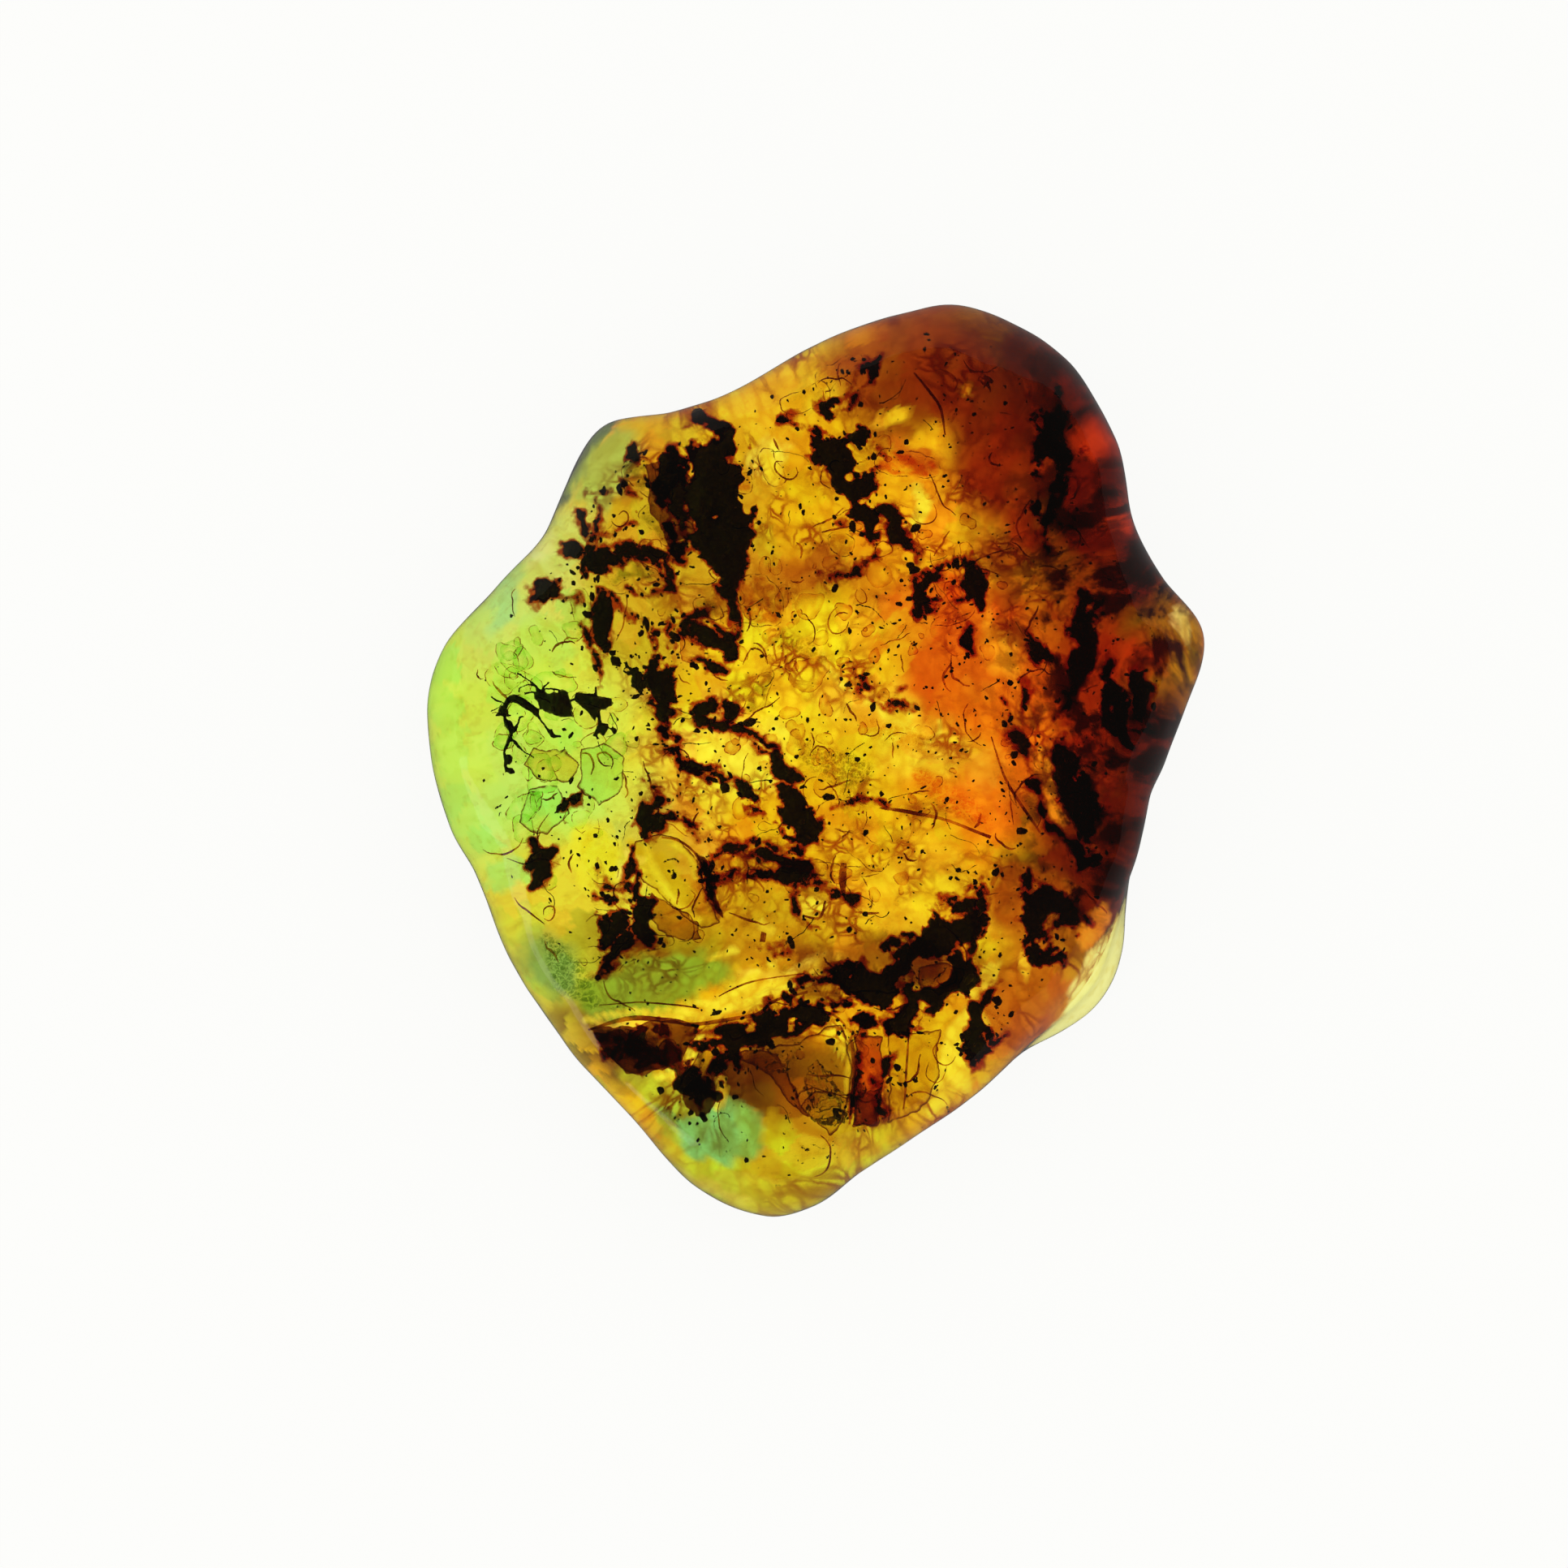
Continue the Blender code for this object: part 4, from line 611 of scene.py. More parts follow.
# Painted highlights on folds of the crown, pale and bright: corners of an outline, or strands.
PAINTED_HIGHLIGHTS = {
    "ribbon": [[
        (-13.6, -15.3, 0.1), (-12.2, -14.9, 0.16), (-10.5, -14.7, 0.2), (-8.4, -14.75, 0.2),
        (-7.4, -15.0, 0.16), (-6.0, -14.7, 0.22), (-4.7, -14.5, 0.26), (-3.7, -14.1, 0.26),
        (-3.0, -13.5, 0.24), (-2.0, -13.2, 0.18), (-0.6, -12.9, 0.2), (1.2, -12.5, 0.08),
    ]],
    "upper fold": [[(-7.5, -14.2, 0.08), (-6.0, -14.2, 0.16), (-4.7, -13.4, 0.3), (-3.4, -12.5, 0.2)]],
    "small fold": [[(-6.2, -11.6, 0.06), (-5.3, -11.3, 0.12), (-4.7, -11.2, 0.06)]],
    "glint by the pin": [[(-3.3, -9.5, 0.14), (-2.6, -10.0, 0.2)], [(-2.5, -12.0, 0.22), (-2.4, -12.1, 0.2)]],
    "root of the tongue": [[(-11.1, -5.9, 0.26), (-10.7, -6.3, 0.3), (-10.2, -6.4, 0.16)]],
    "fold of the tongue": [[(-10.0, -5.0, 0.1), (-9.6, -6.3, 0.22), (-8.6, -8.0, 0.16), (-7.0, -9.3, 0.18)]],
    "edge of the tongue": [[(-8.4, -4.8, 0.1), (-7.4, -5.6, 0.16), (-7.0, -6.8, 0.1)]],
    "S sliver": [[
        (-6.8, -16.3, 0.3), (-7.5, -17.1, 0.32), (-7.7, -18.0, 0.26), (-8.5, -18.5, 0.18),
        (-9.3, -18.6, 0.08),
    ]],
    "rim of the disc": [[(-5.6, -18.5, 0.1), (-5.45, -19.5, 0.2), (-5.8, -20.5, 0.14)]],
    "bright pane": [
        (9.2, -14.4), (9.2, -16.8), (8.7, -18.5), (8.0, -20.0), (6.9, -20.9), (6.4, -20.4), (7.3, -18.5),
        (7.6, -16.4), (8.5, -14.9),
    ],
    "bright chip": [(8.4, -13.6), (9.2, -13.9), (10.1, -12.9), (10.3, -12.0), (9.4, -12.4), (8.5, -12.9)],
    "bright polygon": [(-1.0, -8.0), (0.0, -7.8), (0.7, -8.2), (0.4, -9.0), (-0.8, -8.9)],
    "facet in the middle": [(-6.6, 1.3), (-5.0, 1.4), (-3.6, 0.6), (-3.5, -0.8), (-4.8, -1.0), (-6.2, 0.2)],
    "small facets": [[(-2.6, 2.4, 0.3), (-1.8, 1.8, 0.2)], [(-7.7, -1.7, 0.2), (-7.0, -1.5, 0.3)]],
    "capsule": [[(-3.0, 17.9, 0.4), (-2.6, 16.9, 0.45)]],
    "flames": [
        [(3.0, 3.6, 0.1), (4.4, 2.6, 0.16), (5.9, 1.8, 0.08)],
        [(4.6, 1.2, 0.08), (5.4, 2.2, 0.14), (5.6, 3.2, 0.06)],
        [(0.4, 6.4, 0.1), (1.0, 5.2, 0.16), (2.0, 4.2, 0.1)],
        [(6.4, 0.8, 0.06), (7.2, 1.6, 0.12), (7.3, 2.4, 0.05)],
    ],
    "window edge": [[(6.0, 16.2, 0.3), (6.4, 15.0, 0.4), (5.6, 14.0, 0.2)]],
    "wedge chip, bright corner": [(0.6, -15.7), (1.4, -15.5), (1.7, -16.4), (1.8, -17.6), (1.2, -16.9)],
    "wedge chip, right edge": [[(1.85, -17.4, 0.06), (1.9, -18.6, 0.1), (1.75, -19.6, 0.06)]],
    "glowing slit": [[(-7.1, 17.2, 0.08), (-7.1, 15.9, 0.2), (-7.3, 14.6, 0.12), (-7.4, 13.4, 0.16)]],
}
# Fine dark lines, listed one by one: along folds they paint the shade beside the painted highlights, the rest
# are stained seams. Strands seen from above, and a height.
SEAM_AND_FOLD_SHADE_HEIGHT = 8.2
SEAMS_AND_FOLD_SHADE = [
    [
        (-13.4, -15.8, 0.06), (-11.0, -15.15, 0.14), (-8.4, -15.25, 0.15), (-7.3, -15.45, 0.12),
        (-5.0, -15.15, 0.12), (-3.4, -14.8, 0.1), (-2.4, -14.0, 0.08), (-0.4, -13.5, 0.08),
    ],
    [(-12.8, -14.4, 0.03), (-10.6, -14.2, 0.05), (-8.6, -14.3, 0.05), (-7.0, -14.5, 0.04)],
    [(-5.8, -13.8, 0.03), (-4.2, -13.0, 0.06), (-2.8, -12.7, 0.04), (-0.6, -12.4, 0.05)],
    [(5.5, -16.0, 0.05), (5.4, -18.2, 0.07), (5.2, -20.5, 0.05)],
    [(2.1, -16.4, 0.08), (2.15, -18.4, 0.14), (1.95, -21.4, 0.08)],
    [(0.57, -8.2, 0.06), (0.3, -9.2, 0.09), (-0.75, -9.05, 0.05)],
    [(2.4, -8.85, 0.05), (3.1, -8.9, 0.08), (3.7, -8.85, 0.04)],
    [(3.9, -2.7, 0.08), (5.8, -3.0, 0.12), (8.0, -3.6, 0.08), (10.2, -4.5, 0.1)],
    [(-9.2, -4.4, 0.04), (-8.2, -4.7, 0.07), (-7.2, -5.5, 0.06), (-6.6, -6.6, 0.08)],
    [(1.64, -6.0, 0.15), (1.6, -6.9, 0.22), (1.7, -7.8, 0.12)],
    [(10.2, 1.6, 0.04), (10.9, -0.6, 0.08), (12.0, -2.6, 0.1), (13.2, -4.2, 0.06)],
    [(-3.2, -10.3, 0.3), (-2.9, -10.35, 0.25)],
    [(5.8, 23.0, 0.05), (7.2, 21.2, 0.09), (7.6, 19.4, 0.05)],
    [(-18.3, -5.6, 0.02), (-17.2, -5.9, 0.04), (-16.2, -5.6, 0.03), (-15.0, -6.0, 0.02)],
]
SEAM_COUNT = 170
SEAM_STEPS = 7
SEAM_LENGTH = (0.8, 3.2)
SEAM_WIDTH = (0.025, 0.06)
# Films with a crackle of clear wrinkles: height, colour and strands.
CRINKLED_FILMS = {
    "upper crinkle": (8.6, (0.62, 0.56, 0.16), [[(-2.0, 7.4, 0.7), (-0.8, 6.8, 0.9), (0.6, 6.2, 0.5)]]),
    "lower crinkle": (8.2, (0.50, 0.44, 0.16), [[(-0.4, 0.4, 0.8), (1.6, -0.4, 1.3), (3.0, -0.6, 0.8)]]),
    "flame crinkle": (8.0, (0.85, 0.66, 0.25), [[(3.4, 2.2, 0.8), (5.0, 1.6, 1.0), (6.6, 1.0, 0.8)]]),
    "froth on the lower left": (
        6.8, (0.34, 0.44, 0.22), [[(-15.8, -10.6, 0.6), (-14.8, -12.4, 1.2), (-13.2, -14.2, 0.7)]],
    ),
    "dusty crinkle": (7.8, (0.66, 0.52, 0.20), [[(1.6, -1.8, 0.5), (2.8, -2.2, 0.4)]]),
    "scribble on the right": (
        7.4, (0.85, 0.48, 0.16), [[(6.2, -0.8, 0.7), (8.6, -2.6, 0.9), (10.0, -3.8, 0.5)]],
    ),
}
LENS_STEP = 0.1
LENS_TEAR = 0.14
LENS_TEAR_SIZE = 0.9
LENS_MARGIN = 0.4
LENS_EDGE = 0.02        # half the thickness of a lens at its edge, and how it swells inward
LENS_SWELL = 0.12
FILM_GRID = (180, 44)   # points round the flow film, and rings
FILM_WAVE_SIZE = 4.0
FILM_HALF_THICKNESS = 0.03
# Fields of rounded cells: how many, middle, spread, usual size, palest and deepest colour.
CELL_FIELDS = {
    "gold middle": (110, (2.0, 3.0), (6.5, 10.0), 0.3, (0.95, 0.88, 0.60), (0.80, 0.48, 0.25)),
    "lime side": (46, (-16.5, 0.5), (2.8, 6.5), 0.5, (1.0, 0.98, 0.80), (0.66, 0.88, 0.50)),
}
CELL_SPREAD = 0.45
CELL_HEIGHTS = (5.0, 7.5)
WIDEST_CELL = 0.85      # how far out to the rim the cells may reach

LATTICE = 64            # random values along each side of a random field, before it repeats
OCTAVE_TURN = 1.1       # each finer octave is turned and moved, so that none lines up with another
OCTAVE_MOVE = (17.3, 5.1)
SIGHT_ROUNDS = 5        # how often the entry of a line of sight is bettered
SLOPE_STEP = 0.2

CAMERA_PLACE = (-1.872, -1.272, 263.0)
CAMERA_LENS = 100.0
REFRACTION = 1.54
FLOOR_GLOW = 0.92       # the floor is lit from within, as a light box is
FLOOR_THROUGH = 1.10    # brighter where it is seen through the resin
FLOOR_REFLECTED = 0.10  # and dimmer in the nugget's own reflections
WORLD_GLOW = 0.075
WORLD_THROUGH = 0.40    # the studio as seen through the resin


# Small tools for numbers, curves and fields.

def hermite(before, start, end, after, gaps, share):
    """A smooth value between start and end, from their neighbours and the three gaps between the four."""
    first, middle, last = gaps
    slope_in = (end - before) / (first + middle) * middle
    slope_out = (after - start) / (middle + last) * middle
    s2 = share * share
    s3 = s2 * share
    return (
        (2 * s3 - 3 * s2 + 1) * start
        + (s3 - 2 * s2 + share) * slope_in
        + (3 * s2 - 2 * s3) * end
        + (s3 - s2) * slope_out
    )


def bell(distance, spread):
    return math.exp(-0.5 * (distance / spread) ** 2)


def turn_between(a, b):
    return (a - b + 180) % 360 - 180


def smooth_run(points, count):
    """Even samples of a smooth curve through the points, each a tuple of any length."""
    padded = [points[0], *points, points[-1]]
    samples = []
    for k in range(count):
        place = k / (count - 1) * (len(points) - 1)
        i = min(int(place), len(points) - 2)
        columns = zip(*padded[i : i + 4])
        samples.append([hermite(*column, (1, 1, 1), place - i) for column in columns])
    return samples


def cloud(x, y, size, seed, octaves=4, roughness=0.55):
    """A smooth random field over arrays of places, about -1 to 1, with finer and finer detail."""
    total = np.zeros(np.shape(x))
    for k in range(octaves):
        lattice = np.random.default_rng(seed * 31 + k).uniform(-1, 1, (LATTICE, LATTICE))
        turn = 0.6 + OCTAVE_TURN * k + seed
        u = (x * math.cos(turn) + y * math.sin(turn)) / size * 2**k + OCTAVE_MOVE[0] * k
        v = (y * math.cos(turn) - x * math.sin(turn)) / size * 2**k + OCTAVE_MOVE[1] * k
        i = np.floor(u).astype(int)
        j = np.floor(v).astype(int)
        fu = (u - i) ** 2 * (3 - 2 * (u - i))
        fv = (v - j) ** 2 * (3 - 2 * (v - j))
        corners = [lattice[(i + a) % LATTICE, (j + b) % LATTICE] for a in (0, 1) for b in (0, 1)]
        low = corners[0] * (1 - fv) + corners[1] * fv
        high = corners[2] * (1 - fv) + corners[3] * fv
        total += (low * (1 - fu) + high * fu) * roughness**k
    return total


def wander(x, y, drift, seed_x, seed_y):
    """How far places are moved each way by a drift of (reach, size, octaves)."""
    reach, size, octaves = drift
    return reach * cloud(x, y, size, seed_x, octaves), reach * cloud(x, y, size, seed_y, octaves)


def new_piece(name, verts, faces, material):
    """An object from points in millimetres and faces, that rides on the nugget's body."""
    mesh = bpy.data.meshes.new(name)
    mesh.from_pydata([(x * MM, y * MM, z * MM) for x, y, z in verts], [], faces)
    mesh.validate()
    mesh.materials.append(material)
    mesh.shade_smooth()
    piece = bpy.data.objects.new(name, mesh)
    bpy.context.scene.collection.objects.link(piece)
    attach(piece, BODY)
    return piece


# The nugget's skin.

def rim_distance(bearing):
    bearing %= 360
    count = len(RIM)
    for i in range(count):
        run = [RIM[(i + step) % count] for step in (-1, 0, 1, 2)]
        gaps = [(run[k + 1][0] - run[k][0]) % 360 for k in range(3)]
        beyond = (bearing - run[1][0]) % 360
        if beyond < gaps[1]:
            return hermite(*(distance for _, distance in run), gaps, beyond / gaps[1])
    return RIM[0][1]


RIM_BY_DEGREE = [rim_distance(bearing) for bearing in range(361)]


def crown_heights(x, y):
    """The height of the crown over arrays of places, without its waver."""
    rim = np.interp(np.degrees(np.arctan2(y, x)) % 360, np.arange(361), RIM_BY_DEGREE)
    level = np.minimum(1.0, np.hypot(x, y) / rim) ** (1 / RIM_BLUNTNESS)
    rise = np.sqrt(1 - level * level)
    height = PART_HEIGHT + rise ** CROWN_FLATNESS * CROWN_RISE
    for spot_x, spot_y, swell, spread in CROWN_RELIEF.values():
        near = np.exp(-0.5 * (np.hypot(x - spot_x, y - spot_y) / spread) ** 2)
        height += swell * near * np.minimum(1.0, RELIEF_FADE * rise)
    return height


def true_places(x, y, height):
    """Where things lie, at a height, that are seen at (x, y) in the parting plane. All are arrays."""
    seen = np.stack([x, y, np.full(x.shape, PART_HEIGHT)])
    sight = seen - np.array(CAMERA_PLACE)[:, None]
    sight /= np.linalg.norm(sight, axis=0)
    entry = seen
    for _ in range(SIGHT_ROUNDS):
        entry = seen + sight * ((crown_heights(entry[0], entry[1]) - PART_HEIGHT) / sight[2])
    x, y = entry[:2]
    rise_x = crown_heights(x + SLOPE_STEP, y) - crown_heights(x - SLOPE_STEP, y)
    rise_y = crown_heights(x, y + SLOPE_STEP) - crown_heights(x, y - SLOPE_STEP)
    normal = np.stack([-rise_x, -rise_y, np.full(x.shape, 2 * SLOPE_STEP)])
    normal /= np.linalg.norm(normal, axis=0)
    facing = -(sight * normal).sum(axis=0)
    inside = np.sqrt(1 - (1 - facing**2) / REFRACTION**2)
    bent = sight / REFRACTION + normal * (facing / REFRACTION - inside)
    place = entry + bent * ((height - entry[2]) / bent[2])
    return place[0], place[1]


def sunk(verts):
    """Points given where they are seen, moved to where they lie, and kept inside the skin."""
    x, y, z = np.array(verts, dtype=float).T
    x, y = true_places(x, y, z)
    rim = np.interp(np.degrees(np.arctan2(y, x)) % 360, np.arange(361), RIM_BY_DEGREE)
    inward = np.minimum(1.0, WIDEST_SHARE * rim / np.maximum(np.hypot(x, y), 1e-6))
    x, y = x * inward, y * inward
    z = np.minimum(z, crown_heights(x, y) - SKIN_COVER)
    return np.stack([x, y, z], axis=1).tolist()


def nugget_point(bearing, elevation, rim):
    """Where the skin lies for a bearing and an elevation, in millimetres."""
    level = math.cos(math.radians(elevation))
    rise = abs(math.sin(math.radians(elevation)))
    reach = rim
    for lobe_bearing, lobe_elevation, push, across, upright in RIM_LOBES.values():
        near = bell(turn_between(bearing, lobe_bearing), across) * bell(elevation - lobe_elevation, upright)
        reach += push * near
    reach *= max(level, 0.0) ** RIM_BLUNTNESS
    x = reach * math.cos(math.radians(bearing))
    y = reach * math.sin(math.radians(bearing))
    above = elevation > 0
    height = rise ** CROWN_FLATNESS * (CROWN_RISE if above else -BELLY_DROP)
    for spot_x, spot_y, swell, spread in CROWN_RELIEF.values():
        if above:
            height += swell * bell(math.hypot(x - spot_x, y - spot_y), spread) * min(1.0, RELIEF_FADE * rise)
    place = Vector((x, y, height))
    waver = noise.noise_vector(place / WAVER_SIZE) * WAVER
    ripple = noise.noise_vector(place / RIPPLE_SIZE) * RIPPLE
    moved = waver + ripple
    return x + moved.x, y + moved.y, max(0.0, PART_HEIGHT + height + moved.z)


def skin_elevation(share):
    """The elevation of the skin a share of the way out from the middle, for rings evenly seen from above."""
    return math.degrees(math.acos(math.sin(math.pi / 2 * share) ** (1 / RIM_BLUNTNESS)))


def skin_elevations():
    belly = [-skin_elevation(k / BELLY_RINGS) for k in range(1, BELLY_RINGS)]
    crown = [skin_elevation(1 - k / CROWN_RINGS) for k in range(CROWN_RINGS)]
    return belly + crown


def outline_field(outline, x, y):
    """How far inside an outline of (x, y) corners each place lies, below zero outside."""
    nearest = np.full(x.shape, 1e9)
    inside = np.zeros(x.shape, dtype=bool)
    for (ax, ay), (bx, by) in zip(outline, outline[1:] + outline[:1]):
        along = ((x - ax) * (bx - ax) + (y - ay) * (by - ay)) / ((bx - ax) ** 2 + (by - ay) ** 2)
        along = np.clip(along, 0, 1)
        nearest = np.minimum(nearest, np.hypot(x - ax - along * (bx - ax), y - ay - along * (by - ay)))
        if ay != by:
            inside ^= ((ay > y) != (by > y)) & (x < ax + (bx - ax) * (y - ay) / (by - ay))
    return np.where(inside, nearest, -nearest)


def shape_field(shape, x, y):
    """How far inside a shape each place lies: an outline of corners, or a list of strands."""
    if isinstance(shape[0], list):
        return strand_field(shape, x, y)[0]
    return outline_field(shape, x, y)


def cell_shifts(x, y, size, seed):
    """A random step, up to half each way, and two random shares for each cell of a field of cells."""
    lattice = np.random.default_rng(seed).uniform(-0.5, 0.5, (LATTICE, LATTICE, 6))
    column = np.floor(x / size).astype(int)
    row = np.floor(y / size).astype(int)
    nearest = np.full(x.shape, 1e9)
    shifts = np.zeros((len(x), 4))
    for i in (-1, 0, 1):
        for j in (-1, 0, 1):
            cell = lattice[(column + i) % LATTICE, (row + j) % LATTICE]
            away_x = column + i + 0.5 + PATCH_STRAY * cell[:, 0] - x / size
            away_y = row + j + 0.5 + PATCH_STRAY * cell[:, 1] - y / size
            away = np.hypot(away_x, away_y)
            nearer = away < nearest
            nearest[nearer] = away[nearer]
            shifts[nearer] = cell[nearer, 2:]
    return shifts.T


def lay_zones(zones, x, y, colours):
    """The colours with a table of zones laid over them, one zone after another."""
    for zone_x, zone_y, reach_x, reach_y, turn, sharpness, colour in zones.values():
        across = math.cos(math.radians(turn))
        along = math.sin(math.radians(turn))
        u = ((x - zone_x) * across + (y - zone_y) * along) / reach_x
        v = ((y - zone_y) * across - (x - zone_x) * along) / reach_y
        outer = 1.0 + (1 - sharpness) * ZONE_FADE
        share = np.clip((outer - np.hypot(u, v)) / (outer - sharpness), 0, 1)
        share = (share * share * (3 - 2 * share))[:, None]
        colours = colours + (np.array(colour) - colours) * share
    return colours


def painted_highlight_shares(x, y, z):
    """Where the crown's folds get painted highlights, as seen by the camera: 1 in a fold, 0 away from it."""
    nearer = (CAMERA_PLACE[2] - PART_HEIGHT) / (CAMERA_PLACE[2] - z)
    seen_x = CAMERA_PLACE[0] + (x - CAMERA_PLACE[0]) * nearer
    seen_y = CAMERA_PLACE[1] + (y - CAMERA_PLACE[1]) * nearer
    seen_x = seen_x + GLOW_RAGGED * cloud(seen_x, seen_y, GLOW_RAGGED_SIZE, 91, 3)
    seen_y = seen_y + GLOW_RAGGED * cloud(seen_x, seen_y, GLOW_RAGGED_SIZE, 92, 3)
    glow = np.zeros(len(x))
    for shape in PAINTED_HIGHLIGHTS.values():
        share = (shape_field(shape, seen_x, seen_y) + GLOW_OUTSIDE) / GLOW_FADE
        glow = np.maximum(glow, np.clip(share, 0, 1))
    return glow


def colour_skin(piece, verts):
    """Gives each point of the skin the resin's colour there, deep on the crown and pale on the belly, with
    painted highlights on the crown's folds.
    """
    x, y, z = verts.T
    on_crown = np.clip((z - PART_HEIGHT + BLEND_BELOW) / BLEND_HEIGHT, 0, 1)
    patch_x, patch_y = wander(x, y, PATCH_DRIFT, 81, 82)
    shift_x, shift_y, less_red, less_green = cell_shifts(x + patch_x, y + patch_y, PATCH_SIZE, 83)
    step = BELLY_PATCH + on_crown * (CROWN_PATCH - BELLY_PATCH)
    zone_x, zone_y = wander(x, y, ZONE_DRIFT, 84, 85)
    gold = np.tile(RESIN_GOLD, (len(x), 1))
    soft = lay_zones(SOFT_ZONES, x + zone_x + step * shift_x, y + zone_y + step * shift_y, gold)
    lime = np.clip((x - LIME_SIDE[0]) / (LIME_SIDE[1] - LIME_SIDE[0]), 0, 1)
    soft[:, 0] *= 1 - PATCH_TINT * (GOLD_LESS_RED + (1 - GOLD_LESS_RED) * lime) * (less_red + 0.5) ** 2
    soft[:, 1] *= 1 - PATCH_TINT * (1 - (1 - LIME_LESS_GREEN) * lime) * (less_green + 0.5) ** 2
    drift_x, drift_y = wander(x, y, LOBE_DRIFT, 86, 87)
    sway_x, sway_y = wander(x, y, LOBE_SWAY, 88, 89)
    lobe_x, lobe_y = x + drift_x + sway_x, y + drift_y + sway_y
    crown = lay_zones(CRISP_LOBES, lobe_x, lobe_y, soft) ** CROWN_DEPTH
    belly = lay_zones(BELLY_LOBES, lobe_x, lobe_y, soft ** (2.0 - CROWN_DEPTH))
    # painted highlights: the crown's colour is paled on its folds, as if they caught the light
    crown = crown + (np.array(PAINTED_HIGHLIGHT_COLOUR) - crown) * painted_highlight_shares(x, y, z)[:, None]
    colours = belly + (crown - belly) * on_crown[:, None]
    layer = piece.data.attributes.new("resin_colour", "FLOAT_COLOR", "POINT")
    layer.data.foreach_set("color", np.c_[colours, np.ones(len(x))].ravel())


def build_nugget(material):
    elevations = skin_elevations()
    bearings = [360 * k / SKIN_SEGMENTS for k in range(SKIN_SEGMENTS)]
    rims = [rim_distance(bearing) for bearing in bearings]
    verts = [nugget_point(0, -90, rims[0])]
    for elevation in elevations:
        verts += [nugget_point(bearing, elevation, rim) for bearing, rim in zip(bearings, rims)]
    verts.append(nugget_point(0, 90, rims[0]))
    last = len(verts) - 1
    faces = []
    for k in range(SKIN_SEGMENTS):
        after = (k + 1) % SKIN_SEGMENTS
        faces.append((0, 1 + after, 1 + k))
        top = last - SKIN_SEGMENTS
        faces.append((last, top + k, top + after))
        for ring in range(len(elevations) - 1):
            low = 1 + ring * SKIN_SEGMENTS
            high = low + SKIN_SEGMENTS
            faces.append((low + k, low + after, high + after, high + k))
    piece = new_piece("amber_nugget", verts, faces, material)
    colour_skin(piece, np.array(verts))
    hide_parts("amber_upper", "amber_lower")


# Litter: torn flat pieces, cut from a field of distances round their strands.

def strand_field(strands, x, y):
    """How far inside the strands each place lies, and the half width of the strand there."""
    inside = np.full(x.shape, -1e9)
    width = np.zeros(x.shape)
    for run in strands:
        for sx, sy, half_width in smooth_run(run, STRAND_SAMPLES):
            depth = half_width - np.hypot(x - sx, y - sy)
            nearer = depth > inside
            inside[nearer] = depth[nearer]
            width[nearer] = half_width
    return inside, width


def torn_field(strands, x, y, seed):
    """Above zero inside the torn outline of the strands."""
    drift_x, drift_y = wander(x, y, STRAND_DRIFT, seed + 3, seed + 9)
    sway_x, sway_y = wander(x, y, STRAND_SWAY, seed + 4, seed + 5)
    inside, width = strand_field(strands, x + drift_x + sway_x, y + drift_y + sway_y)
    width = np.minimum(width, 1.0)
    swell = SWELL * width * cloud(x, y, SWELL_SIZE, seed + 5, 2)
    stray = TEAR * (THIN_TEAR + (1 - THIN_TEAR) * width) * cloud(x, y, TEAR_SIZE, seed, 5, TEAR_ROUGHNESS)
    holes = np.maximum(0.0, cloud(x, y, HOLE_SIZE, seed + 31, 3) - HOLE_LEVEL)
    return inside + swell + stray - HOLES * width * holes


def march(field, xs, ys):
    """Outlines the places where the field is above zero: corner places, crossing places and faces."""
    inside = field > 0
    crossing = {}
    places = []
    faces = []

    def corner(i, j):
        key = (i, j)
        if key not in crossing:
            crossing[key] = len(places)
            places.append((xs[i], ys[j], field[i, j]))
        return crossing[key]

    def between(a, b):
        key = (min(a, b), max(a, b))
        if key not in crossing:
            share = field[a] / (field[a] - field[b])
            crossing[key] = len(places)
            places.append((
                xs[a[0]] + (xs[b[0]] - xs[a[0]]) * share,
                ys[a[1]] + (ys[b[1]] - ys[a[1]]) * share,
                0.0,
            ))
        return crossing[key]

    some = inside[:-1, :-1] | inside[1:, :-1] | inside[:-1, 1:] | inside[1:, 1:]
    for i, j in zip(*np.nonzero(some)):
        ring = [(i, j), (i + 1, j), (i + 1, j + 1), (i, j + 1)]
        face = []
        for k, here in enumerate(ring):
            following = ring[(k + 1) % 4]
            if inside[here]:
                face.append(corner(*here))
            if inside[here] != inside[following]:
                face.append(between(here, following))
        faces.append(face)
    return places, faces


def sheet_between(places, faces, rise):
    """A closed sheet from a flat outline: its edge is shared, its top and bottom swell by rise(place)."""
    top = {}
    verts = []
    bottom = {}
    for k, (x, y, depth) in enumerate(places):
        high, low = rise(x, y, depth)
        top[k] = len(verts)
        verts.append((x, y, high))
        if depth > 0:
            bottom[k] = len(verts)
            verts.append((x, y, low))
        else:
            bottom[k] = top[k]
    closed = [[top[k] for k in face] for face in faces]
    closed += [[bottom[k] for k in reversed(face)] for face in faces]
    return verts, closed


def sheet_depths(places):
    """How deep inside its edge each point of a closed sheet lies, in the order of its points."""
    depths = []
    for _, _, depth in places:
        depths += [depth, depth] if depth > 0 else [0.0]
    return depths


def add_depths(piece, depths):
    """Keeps how deep inside the torn edge each point lies, for the translucent edges."""
    layer = piece.data.attributes.new("edge_depth", "FLOAT", "POINT")
    layer.data.foreach_set("value", depths)


